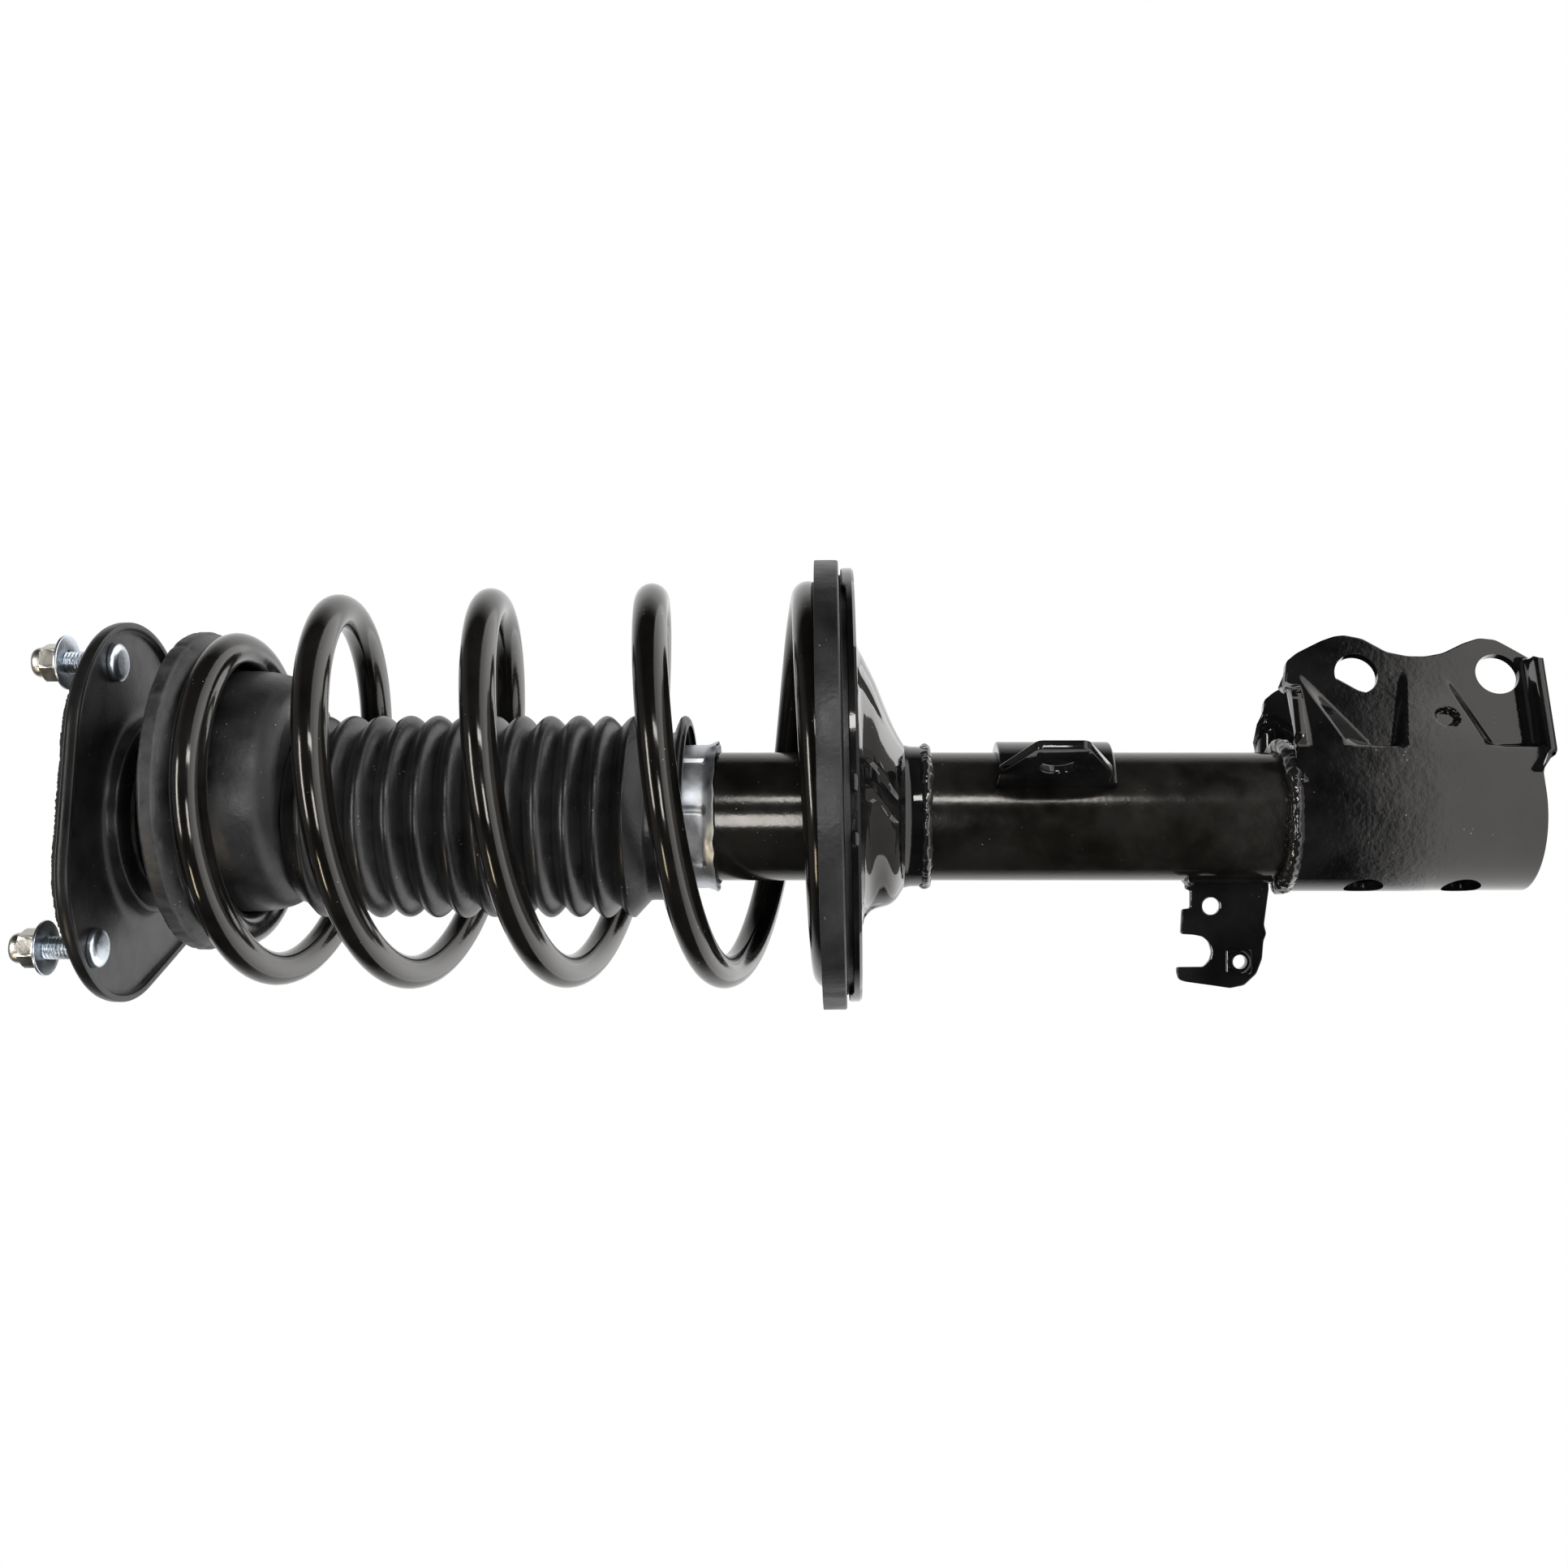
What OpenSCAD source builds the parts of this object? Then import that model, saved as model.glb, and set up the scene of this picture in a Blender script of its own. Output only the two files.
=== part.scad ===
// Front suspension strut assembly: damper, coil spring, dust boot and three-stud top mount.
// +Z runs up the strut axis towards the vehicle body, and the origin is the centre of the
// top mount's upper face. +X is the direction of the knuckle bracket's ears.

/* [Damper tube] */
// Outer radius of the reserve tube
tube_r = 23.65; // [20:0.05:28]
// Wall of the reserve tube
tube_wall = 2.5; // [2:0.1:3.5]
// Height of the tube's upper end
tube_top = -197; // [-199:1:-196]
// Outer radius of the pressed cap over the tube's upper end
cap_r = 26.4; // [25.4:0.1:27]
// Height of the tube's lower end
tube_end = -505; // [-507:1:-503]
// Radius of the piston rod
rod_r = 10; // [9:0.5:11]

/* [Coil spring] */
// Radius of the spring wire
wire_r = 6.1; // [5:0.1:6.2]
// Offset of the spring's upper end from the strut axis
offset_top = 10; // [8:0.1:11]
// Rise of the coils at the side between the ears' direction and the link tab
coil_lean = 3.6; // [0:0.1:4]
// Offset of the spring's lower end from the strut axis
offset_low = 12.4; // [11:0.1:13]

/* [Top mount] */
// Radius of the stud circle
stud_ring_r = 58.8; // [58:0.1:60]
// Direction of the first stud
stud_angle = -41; // [-60:1:-20]
// Thickness of the mount's sheet steel
plate_t = 2.5; // [2:0.1:3]
// Depth of the plate with its lip
plate_lip = 5.1; // [4:0.1:5.4]
// Height of the stud ends
stud_top = 25.6; // [25:0.1:27]

/* [Knuckle bracket] */
// Inner distance between the two ears
ear_gap = 32; // [30:0.5:36]
// Thickness of the bracket's sheet steel
ear_t = 3.2; // [2.8:0.1:3.6]
// Radius of the two bolt holes
bolt_r = 8; // [7:0.1:8.2]
// Distance of the bolt holes from the strut axis
bolt_x = 49; // [47:0.5:51]
// Height of the upper bolt hole
bolt_top = -451.4; // [-453:0.2:-450]
// Distance between the bolt holes
bolt_pitch = 52; // [50:0.5:54]

/* [Hidden] */
$fn = 96;
eps = 0.02;
steel_black = [0.03, 0.03, 0.033];
rubber_black = [0.07, 0.07, 0.075];
zinc = [0.72, 0.75, 0.78];
bright_steel = [0.6, 0.6, 0.62];

// Top mount
corner_r = 48;
corner_reach = 24;
lip_wall = 2.4;
stud_r = 4;
knurl_r = 4.3;
cup_r = 35.4;
cup_wall = 2.4;
cup_bottom = -10.2;
bearing_low = -8;
bearing_high = 2;
race_out_r = 16;
race_in_r = 6;
ball_ring_r = 11;
ball_r = 2.9;
ball_count = 9;
core_r = 18.4;

// Rod and upper seat
rod_shoulder = -15;
hub_t = 2.8;
seat_low = -27;
seat_t = 2.6;
seat_r = 57.5;
dome_r = 30;
insulator_low = -34;
insulator_r = 58.8;
skirt_r = 44.7;
skirt_low = -64.5;
neck_r = 28;
tenon_r = 6;
piston_top = -286;
piston_r = 14.9;

// Dust boot
boot_top = -64.6;
boot_crest_r = 37.2;
boot_valley_r = 33.3;
boot_wall = 1.6;
boot_pitch = 10.35;
boot_first = -71.8;
boot_count = 12;
boot_cuff_r = 30.8;
boot_end = -205.9;

// Inside the damper
inner_r = 16.5;
inner_wall = 1.5;
guide_top = -202;
guide_low = -214;
valve_top = -493;
bore_in = tube_r - tube_wall;

// Lower seat, in its own tilted frame
seat_tilt = 1.3;
pan_top = -264.5;
pan_t = 3;
pan_r = 80.2;
pad_r = 83;
pad_top = -254;
collar_r = 25.8;
collar_low = -291.6;
collar_high = -283;
cone_low = -283.5;

// Brackets
wrap_r = 27.6;
bracket_top = -424;
wrap_low = -511.3;
bracket_low = -516.6;
ear_out = ear_gap / 2 + ear_t;
bolt_low = bolt_top - bolt_pitch;
bolt_mid = bolt_top - bolt_pitch / 2;
flange_y = 29.5;
link_hole_r = 6.1;
link_hole_y = -42.7;
link_z = -336.8;
tab_x = 2.6;
tab_t = 3.2;
hose_angle = 160;
hose_t = 2.5;
hose_hole = [33.1, -397.9];
hose_hole_r = 3.2;
hose_thread = [53.5, -408.1];
hose_thread_r = 2.6;
hose_boss_r = 4.4;
hose_notch = [50.1, -391.6];
hose_notch_r = 6.4;

// Spring: turns from the end of the wire's flat part, with height and mean radius
coil_first = -0.6;
coil_last = 4.85;
coil_start_angle = -20;
coil_steps = 28;
wire_sides = 10;
coil_z = [[-0.6, -40.3], [0, -40.3], [0.25, -43], [0.5, -53.5], [1, -77], [1.5, -104], [2, -132.5],
          [2.5, -162], [3, -191.5], [3.5, -219.7], [3.75, -235.6], [4, -250.4], [4.25, -254.2],
          [4.5, -256.1], [5.1, -256.4]];
coil_r = [[-0.6, 51.2], [0, 51.6], [0.25, 58.5], [0.5, 66.5], [1, 66], [1.5, 67.8], [2, 67.8], [2.5, 68],
          [3, 69], [3.5, 68.8], [4, 69.2], [5.1, 69.2]];

coil_tilt = [[-0.6, 0], [0, 0], [0.5, 0.8], [1, 1], [3.5, 1], [4.3, 0]];
seat_follow = [[3.5, 0], [4.25, 1]];
lean_angle = -110;

// ---- shared shapes ----

// A tube or ring between two heights
module ring(r_out, r_in, low, high) {
    difference() {
        translate([0, 0, low]) cylinder(r = r_out, h = high - low);
        translate([0, 0, low - 1]) cylinder(r = r_in, h = high - low + 2);
    }
}

// A solid disc between two heights
module disc(r, low, high) {
    translate([0, 0, low]) cylinder(r = r, h = high - low);
}

// A triangular plate with large round corners that point at the studs
module rounded_triangle(inset, low, high) {
    hull() for (i = [0:2])
        rotate(stud_angle + 120 * i)
            translate([corner_reach, 0, low])
                cylinder(r = corner_r - inset, h = high - low);
}

// Its children, once at each stud
module at_studs() {
    for (i = [0:2])
        rotate(stud_angle + 120 * i) translate([stud_ring_r, 0, 0]) children();
}

// Its children, in the lower seat's tilted frame
module in_lower_seat() {
    translate([offset_low, 0, pan_top])
        rotate([0, -seat_tilt, 0])
            translate([0, 0, -pan_top]) children();
}

// ---- top mount ----

module mount_plate() {
    color(steel_black) difference() {
        union() {
            difference() {
                rounded_triangle(0, -plate_lip, 0);
                rounded_triangle(lip_wall, -plate_lip - 1, -plate_t);
            }
            disc(cup_r, cup_bottom, -plate_t + eps);
        }
        disc(cup_r - cup_wall, cup_bottom + cup_wall, 1);
        disc(26, cup_bottom - 1, 1);
        at_studs() disc(knurl_r, -plate_t - 1, 1);
    }
}

module mount_rubber() {
    color(rubber_black) rotate_extrude()
        polygon([[core_r, -7], [24, -7.7], [cup_r - cup_wall, -7.7], [cup_r - cup_wall, -0.5],
                 [29, 3.5], [24, 4.5], [core_r, 4]]);
}

module mount_core() {
    color(bright_steel) {
        ring(core_r, race_out_r, -9, 5);
        ring(race_out_r, 13.5, bearing_high, 5);
    }
}

// Half of a race's section is cut away where the balls run
module race(r_out, r_in) {
    color(bright_steel) difference() {
        ring(r_out, r_in, bearing_low, bearing_high);
        rotate_extrude() translate([ball_ring_r, (bearing_low + bearing_high) / 2])
            circle(r = ball_r + 0.1);
    }
}

module bearing_outer_race() race(race_out_r, ball_ring_r + 1.6);

module bearing_inner_race() race(ball_ring_r - 1.6, race_in_r);

module bearing_balls() {
    color(bright_steel) for (i = [0:ball_count - 1])
        rotate(360 / ball_count * i)
            translate([ball_ring_r, 0, (bearing_low + bearing_high) / 2])
                sphere(r = ball_r);
}

module bearing_cage() {
    mid = (bearing_low + bearing_high) / 2;
    color(bright_steel) difference() {
        ring(ball_ring_r + 0.6, ball_ring_r - 0.6, mid - 3.6, mid + 3.6);
        for (i = [0:ball_count - 1])
            rotate(360 / ball_count * i) translate([ball_ring_r, 0, mid])
                rotate([0, 90, 0]) cylinder(r = ball_r + eps, h = 6, center = true);
    }
}

module mount_gasket() {
    color(rubber_black) difference() {
        rounded_triangle(8.5, 0, 5);
        disc(cup_r + 3, -1, 6);
        at_studs() disc(6.5, -1, 6);
    }
}

module mount_studs() {
    color(zinc) at_studs() {
        disc(7, -plate_t - 3, -plate_t);
        disc(knurl_r, -plate_t, 0);
        disc(stud_r, 0, 13.7);
        disc(stud_r - 0.05, 13.7, stud_top - 0.8);
    }
}

module stud_nuts() {
    color(zinc) at_studs() difference() {
        union() {
            translate([0, 0, 15.6]) cylinder(r = 6.93, h = 6.8, $fn = 6);
            disc(5.3, 22.4, stud_top);
        }
        disc(stud_r, 10, 30);
    }
}

module nut_washers() {
    color(zinc) at_studs() difference() {
        union() {
            disc(9.7, 14, 15);
            translate([0, 0, 15]) cylinder(r1 = 9.3, r2 = 7.4, h = 0.6);
        }
        disc(stud_r + 0.4, 10, 20);
    }
}

// ---- rod and upper seat ----

module piston_rod() {
    color(bright_steel) {
        disc(rod_r, piston_top, rod_shoulder);
        disc(tenon_r, rod_shoulder, 16);
        disc(5, -307, piston_top);
    }
}

module rod_nut() {
    color(zinc) difference() {
        union() {
            translate([0, 0, 4]) cylinder(r = 10.97, h = 8, $fn = 6);
            disc(8.5, 12, 13.4);
        }
        disc(tenon_r, 0, 20);
    }
}

module rod_washer() {
    color(zinc) ring(12, tenon_r, bearing_high, 4);
}

module bearing_spacer() {
    color(bright_steel) ring(9.2, tenon_r, rod_shoulder + hub_t, bearing_low);
}

module upper_spring_seat() {
    hub_top = rod_shoulder + hub_t;
    color(steel_black) difference() {
        union() {
            rotate_extrude() polygon([[0, hub_top], [dome_r - 2, hub_top], [dome_r, hub_top - 2],
                                      [dome_r + 3, seat_low + seat_t], [dome_r + 3, seat_low],
                                      [0, seat_low]]);
            translate([offset_top, 0, 0]) disc(seat_r, seat_low, seat_low + seat_t);
        }
        rotate_extrude() polygon([[0, rod_shoulder], [dome_r - 3, rod_shoulder],
                                  [dome_r - 2.2, rod_shoulder - 1], [dome_r, seat_low - 1],
                                  [0, seat_low - 1]]);
        disc(tenon_r, -40, 0);
    }
}

module upper_insulator() {
    color(rubber_black) difference() {
        translate([offset_top, 0, 0]) rotate_extrude()
            polygon([[0, seat_low], [insulator_r - 1, seat_low], [insulator_r, seat_low - 1],
                     [insulator_r, insulator_low + 1], [insulator_r - 1, insulator_low],
                     [skirt_r + 0.2, insulator_low], [skirt_r, skirt_low + 6],
                     [skirt_r - 3, skirt_low + 1.2], [skirt_r - 7, skirt_low], [0, skirt_low]]);
        translate([offset_top, 0, 0]) rotate_extrude()
            polygon([[0, seat_low + 1], [skirt_r - 3.7, seat_low + 1], [skirt_r - 3.7, skirt_low + 7],
                     [skirt_r - 9, skirt_low + 3], [0, skirt_low + 3]]);
        disc(neck_r, -80, 0);
    }
}

// Radius of the boot's outside, from the number of convolutions below the first crest
function boot_r(turns) = boot_valley_r + (boot_crest_r - boot_valley_r) * abs(cos(180 * turns));

boot_steps = 6;
boot_outside = concat(
    [[neck_r + 3.6, boot_top], [neck_r + 3.6, boot_first + boot_pitch / 2]],
    [for (i = [0:(boot_count - 1) * boot_steps])
        [boot_r(i / boot_steps), boot_first - boot_pitch * i / boot_steps]],
    [[boot_cuff_r, boot_first - boot_pitch * (boot_count - 0.5)], [boot_cuff_r, boot_end + 4],
     [boot_crest_r, boot_end + 2], [boot_crest_r, boot_end]]);

module dust_boot() {
    count = len(boot_outside);
    color(rubber_black) rotate_extrude() polygon(concat(boot_outside,
        [for (i = [0:count - 1])
            [boot_outside[count - 1 - i][0] - boot_wall, boot_outside[count - 1 - i][1]]]));
}

module bump_stop() {
    color([0.75, 0.72, 0.55]) rotate_extrude()
        polygon([[rod_r + 0.2, rod_shoulder], [22, rod_shoulder], [22, -26], [18, -29], [21, -33],
                 [21, -42], [17, -45], [20, -49], [20, -58], [16, -61], [18, -65], [17, -74],
                 [rod_r + 3, -80], [rod_r + 0.2, -80]]);
}

module rebound_stop() {
    color(rubber_black) ring(13.6, rod_r, guide_low - 8, guide_low - 0.4);
}

module piston() {
    color(bright_steel) difference() {
        ring(piston_r - 0.6, 5, piston_top - 13, piston_top);
        for (i = [0:7])
            rotate(45 * i) translate([10, 0, piston_top - 20]) cylinder(r = 1.2, h = 30, $fn = 24);
    }
}

module piston_band() {
    color([0.2, 0.15, 0.1]) ring(piston_r, piston_r - 0.6, piston_top - 11, piston_top - 2);
}

module piston_nut() {
    color(zinc) difference() {
        translate([0, 0, piston_top - 20]) cylinder(r = 9.2, h = 7, $fn = 6);
        disc(5, -320, -280);
    }
}

// ---- damper ----

module outer_tube() {
    color(steel_black) ring(tube_r, bore_in, tube_end, tube_top);
}

module tube_base() {
    color(steel_black) difference() {
        disc(bore_in, tube_end, tube_end + 4);
        translate([0, 0, tube_end - 1]) cylinder(r1 = 14, r2 = 11, h = 2.5);
    }
}

module striker_cap() {
    grip_r = 0.85;
    lip = -213.8;
    wall = 1.2;
    color(zinc) {
        rotate_extrude()
            polygon([[12, tube_top + 1.6], [cap_r - 2.4, tube_top + 1.6], [cap_r, tube_top],
                     [cap_r, lip], [cap_r + 1.4, lip - 2.5], [cap_r + 0.3, lip - 2.5],
                     [cap_r - wall, lip], [cap_r - wall, tube_top + eps], [12, tube_top + eps]]);
        // Crimped grooves, which grip the tube
        for (i = [0:7])
            rotate(30 + 45 * i) translate([tube_r + eps + grip_r, 0, lip])
                cylinder(r = grip_r, h = tube_top + 0.5 - lip);
    }
}

module oil_seal() {
    color(rubber_black) ring(bore_in, rod_r + 0.05, guide_top, tube_top - 1);
}

module rod_guide() {
    color(bright_steel) {
        ring(bore_in, rod_r + 0.05, -207, guide_top);
        ring(inner_r - inner_wall, rod_r + 0.05, guide_low, -207);
    }
}

module inner_tube() {
    color(bright_steel) ring(inner_r, inner_r - inner_wall, valve_top - 6, -207);
}

module base_valve() {
    color(bright_steel) {
        disc(inner_r - inner_wall, valve_top - 6, valve_top);
        disc(inner_r, tube_end + 4, valve_top - 6);
    }
}

module lower_spring_seat() {
    color(steel_black) difference() {
        union() {
            in_lower_seat() {
                disc(pan_r, pan_top - pan_t, pan_top);
                disc(pan_r, pan_top - 1, pan_top + 1.9);
            }
            hull() {
                in_lower_seat() translate([-3.6, 0, 0]) disc(50, pan_top - pan_t - 1.5, pan_top - pan_t);
                disc(28.2, cone_low - 0.5, cone_low);
            }
            disc(collar_r, collar_low, collar_high + 3);
        }
        in_lower_seat() disc(pan_r - 2.4, pan_top, pan_top + 5);
        hull() {
            in_lower_seat() translate([-3.6, 0, 0]) disc(48, pan_top - 0.5, pan_top + 1);
            disc(25, cone_low + 2.6, cone_low + 3);
        }
        disc(tube_r, -300, -240);
        for (a = [60, 180, 300])
            in_lower_seat() rotate(a) translate([66, 0, -280]) cylinder(r = 3, h = 30, $fn = 32);
    }
}

// Fillet welds, as rings with a triangular section
module seat_weld() {
    color(steel_black) rotate_extrude()
        polygon([[tube_r, collar_low], [collar_r + 0.6, collar_low], [tube_r, collar_low - 2.4]]);
}

module bracket_weld() {
    color(steel_black) difference() {
        rotate_extrude() polygon([[tube_r, bracket_top], [wrap_r - 0.4, bracket_top],
                                  [tube_r, bracket_top + 3.4]]);
        translate([14, -40, bracket_top - 5]) cube([40, 80, 12]);
    }
}

module lower_insulator() {
    color(rubber_black) in_lower_seat() rotate_extrude()
        polygon([[50, pan_top], [pan_r - 2.6, pan_top], [pan_r - 2.6, pan_top + 2.5],
                 [pad_r, pan_top + 2.5], [pad_r, pad_top + 0.6], [pad_r - 0.8, pad_top],
                 [77.2, pad_top], [76.4, pad_top - 5], [75.9, pad_top - 8.8],
                 [51, pad_top - 8.8], [50, pad_top - 9.6]]);
}

// Middle of the spring wire after a number of turns
function coil_offset(z) = offset_top + (offset_low - offset_top) * (z + 40) / (-256 + 40);
function coil_angle(turns) = coil_start_angle - 360 * turns;
function coil_point(turns) = let (z = lookup(turns, coil_z), r = lookup(turns, coil_r))
    [coil_offset(z) + r * cos(coil_angle(turns)), r * sin(coil_angle(turns)),
     z + lookup(turns, coil_tilt) * coil_lean * cos(coil_angle(turns) - lean_angle)
       + lookup(turns, seat_follow) * tan(seat_tilt) * r * cos(coil_angle(turns))];

// One corner of the wire's section
function wire_corner(turns, side) = let (a = 360 * side / wire_sides, b = coil_angle(turns))
    coil_point(turns) + wire_r * [cos(a) * cos(b), cos(a) * sin(b), sin(a)];

module coil_spring() {
    rings = round((coil_last - coil_first) * coil_steps);
    points = [for (i = [0:rings], j = [0:wire_sides - 1])
        wire_corner(coil_first + (coil_last - coil_first) * i / rings, j)];
    sides = [for (i = [0:rings - 1], j = [0:wire_sides - 1], half = [0, 1])
        let (a = i * wire_sides + j, b = i * wire_sides + (j + 1) % wire_sides)
            half == 0 ? [a, b, a + wire_sides] : [b, b + wire_sides, a + wire_sides]];
    first = [for (j = [0:wire_sides - 1]) wire_sides - 1 - j];
    last = [for (j = [0:wire_sides - 1]) rings * wire_sides + j];
    color(steel_black) polyhedron(points, concat(sides, [first], [last]));
}

// ---- brackets ----

module link_bracket() {
    saddle_low = -359.7;
    saddle_high = -318.3;
    color(steel_black) difference() {
        union() {
            intersection() {
                disc(wrap_r, saddle_low, saddle_high);
                translate([tab_x, -40, saddle_low - 1]) cube([60, 45, 50]);
            }
            // Tab with cut corners, for the stabiliser link's stud
            translate([tab_x, 0, link_z]) rotate([0, 90, 0]) linear_extrude(tab_t)
                polygon([[-20, -24.5], [20, -24.5], [20, -36.5], [8.8, -59.7], [-8.8, -59.7],
                         [-20, -36.5]]);
        }
        disc(tube_r, -400, -300);
        translate([tab_x - 5, link_hole_y, link_z]) rotate([0, 90, 0])
            cylinder(r = link_hole_r, h = 20);
    }
}

// Outline of the hose bracket: distance from the strut axis, and height
hose_outline = [[20, -388.4], [26.9, -388.4], [27.3, -390.2], [33.9, -390.2], [34.2, -387.2],
                [43.4, -386.7], [55.6, -385.3], [57.5, -385.2], [60.2, -386], [61, -388.2],
                [62.5, -399], [63.4, -405], [62.4, -410.1], [58.1, -414.7], [52.5, -416.8],
                [39.1, -417.8], [26.6, -419.3], [20, -419]];

module hose_bracket() {
    color(steel_black) difference() {
        union() {
            rotate([90, 0, hose_angle]) linear_extrude(hose_t, center = true)
                polygon(hose_outline);
            rotate([90, 0, hose_angle]) translate(hose_thread)
                cylinder(r = hose_boss_r, h = hose_t / 2 + 2);
            // Foot that lies on the tube
            intersection() {
                disc(tube_r + 1.6, -419, -386);
                rotate(hose_angle) translate([18, -9, -420]) cube([20, 18, 40]);
            }
        }
        disc(tube_r, -430, -380);
        rotate([90, 0, hose_angle]) {
            translate(hose_hole) cylinder(r = hose_hole_r, h = 20, center = true);
            translate(hose_thread) cylinder(r = hose_thread_r, h = 20, center = true);
            translate(hose_notch) cylinder(r = hose_notch_r, h = 20, center = true);
            translate(hose_notch + [-hose_notch_r, 0]) translate([0, 0, -10])
                cube([2 * hose_notch_r - 0.9, 12, 20]);
        }
    }
}

// Outline of the ears from the side: distance from the strut axis, and height
ear_outline = [[-40, bracket_top], [41, bracket_top], [54.9, -426], [62.4, -439.5], [64.3, -444.5],
               [64.8, -448.5], [63.4, -455], [57.9, -463.5], [56.2, -471.2], [56.1, -477.6],
               [57.4, -484.2], [61.5, -492.3], [63.6, -498.5], [62.9, -504.5], [60, -509],
               [54.9, bracket_low], [-40, bracket_low]];

module knuckle_bracket() {
    inner = tube_r;
    wall_y = wrap_r - 0.1;
    height = bracket_top - bracket_low;
    color(steel_black) difference() {
        intersection() {
            union() {
                disc(wrap_r, wrap_low, bracket_top);
                translate([0, 0, bracket_low]) linear_extrude(height)
                    polygon([[8, -wall_y], [17, -wall_y], [21, -ear_out], [66, -ear_out],
                             [66, ear_out], [21, ear_out], [17, wall_y], [8, wall_y]]);
                translate([0, -wall_y, wrap_low]) cube([8 + eps, 2 * wall_y, bracket_top - wrap_low]);
                // Flanges that stiffen both ends of the ears
                translate([10, -flange_y, bracket_low]) cube([44, 2 * flange_y, ear_t]);
                translate([10, -flange_y, bracket_top - ear_t]) cube([30, 2 * flange_y, ear_t]);
            }
            rotate([90, 0, 0]) linear_extrude(100, center = true) polygon(ear_outline);
        }
        disc(inner, bracket_low - 1, bracket_top + 1);
        translate([0, 0, bracket_low - 1]) linear_extrude(height + 2)
            polygon([[0, -inner + 0.1], [15.5, -inner + 0.1], [19.5, -ear_gap / 2],
                     [70, -ear_gap / 2], [70, ear_gap / 2], [19.5, ear_gap / 2],
                     [15.5, inner - 0.1], [0, inner - 0.1]]);
        for (z = [bolt_top, bolt_low])
            translate([bolt_x, 0, z]) rotate([90, 0, 0])
                cylinder(r = bolt_r, h = 80, center = true);
        // Drain holes in the back of the wrap
        for (z = [-451.5, -487])
            translate([0, 0, z]) rotate([0, -90, 0]) cylinder(r = 7, h = 40);
    }
}

// ---- what is drawn ----

mount_plate();
mount_rubber();
mount_core();
bearing_outer_race();
mount_gasket();
mount_studs();
stud_nuts();
nut_washers();
bearing_balls();
bearing_cage();
piston_rod();
rod_nut();
rod_washer();
bearing_inner_race();
bearing_spacer();
upper_spring_seat();
upper_insulator();
dust_boot();
bump_stop();
rebound_stop();
piston();
piston_band();
piston_nut();
outer_tube();
tube_base();
striker_cap();
oil_seal();
rod_guide();
inner_tube();
base_valve();
lower_spring_seat();
seat_weld();
lower_insulator();
coil_spring();
link_bracket();
hose_bracket();
knuckle_bracket();
bracket_weld();
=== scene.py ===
"""Looks for the strut assembly: coil spring, boot, seats, mount, brackets, welds and finishes."""
import bpy
import bmesh
import math
import numpy as np
from mathutils import Matrix, Vector


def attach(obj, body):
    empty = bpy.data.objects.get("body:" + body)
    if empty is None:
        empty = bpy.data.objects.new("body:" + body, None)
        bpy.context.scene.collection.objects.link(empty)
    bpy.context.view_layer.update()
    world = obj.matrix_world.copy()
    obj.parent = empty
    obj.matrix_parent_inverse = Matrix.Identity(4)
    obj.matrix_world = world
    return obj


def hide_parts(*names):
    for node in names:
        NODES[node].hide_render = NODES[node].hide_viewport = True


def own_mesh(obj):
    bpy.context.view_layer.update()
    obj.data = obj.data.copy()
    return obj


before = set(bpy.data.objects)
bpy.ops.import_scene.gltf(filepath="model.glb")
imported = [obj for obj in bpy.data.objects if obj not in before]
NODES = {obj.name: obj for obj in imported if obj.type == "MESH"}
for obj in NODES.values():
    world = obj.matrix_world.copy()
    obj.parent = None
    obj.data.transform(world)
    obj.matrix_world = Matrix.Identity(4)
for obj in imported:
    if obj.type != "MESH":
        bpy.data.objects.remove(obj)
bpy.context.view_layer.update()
MM = 0.001
scene = bpy.context.scene

# Shared sizes in millimetres: the strut's axis is Z, and the seats are offset from it along X
UPPER_SHIFT = 10
LOWER_SHIFT = 12.4
PAN_Z = -264.5
PAN_TILT = math.radians(1.3)
STUD_ANGLES = (-41, 79, 199)
STUD_CIRCLE_R = 58.8


# ---- materials ----

def new_material(name):
    mat = bpy.data.materials.new(name)
    mat.use_nodes = True
    tree = mat.node_tree
    return mat, tree, tree.nodes["Principled BSDF"]


def add_node(tree, kind, inputs=None, **settings):
    node = tree.nodes.new(kind)
    for key, value in settings.items():
        setattr(node, key, value)
    for key, value in (inputs or {}).items():
        if isinstance(value, bpy.types.NodeSocket):
            tree.links.new(value, node.inputs[key])
        else:
            node.inputs[key].default_value = value
    return node


def ramp(tree, source, low, high, low_value=0.0, high_value=1.0):
    """A socket that goes from low_value to high_value as source goes from low to high."""
    return add_node(tree, "ShaderNodeMapRange", {
        "Value": source, "From Min": low, "From Max": high,
        "To Min": low_value, "To Max": high_value}).outputs["Result"]


def mix_colour(tree, factor, first, second):
    node = tree.nodes.new("ShaderNodeMix")
    node.data_type = "RGBA"
    for socket, value in ((node.inputs[0], factor), (node.inputs[6], first), (node.inputs[7], second)):
        if isinstance(value, bpy.types.NodeSocket):
            tree.links.new(value, socket)
        else:
            socket.default_value = value
    return node.outputs[2]


def noise(tree, where, scale, detail=3.0, distortion=0.0):
    return add_node(tree, "ShaderNodeTexNoise", {
        "Vector": where, "Scale": scale, "Detail": detail, "Distortion": distortion}).outputs["Fac"]


def combine(tree, operation, first, second):
    node = tree.nodes.new("ShaderNodeMath")
    node.operation = operation
    for socket, value in zip(node.inputs, (first, second)):
        if isinstance(value, bpy.types.NodeSocket):
            tree.links.new(value, socket)
        else:
            socket.default_value = value
    return node.outputs[0]


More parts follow.
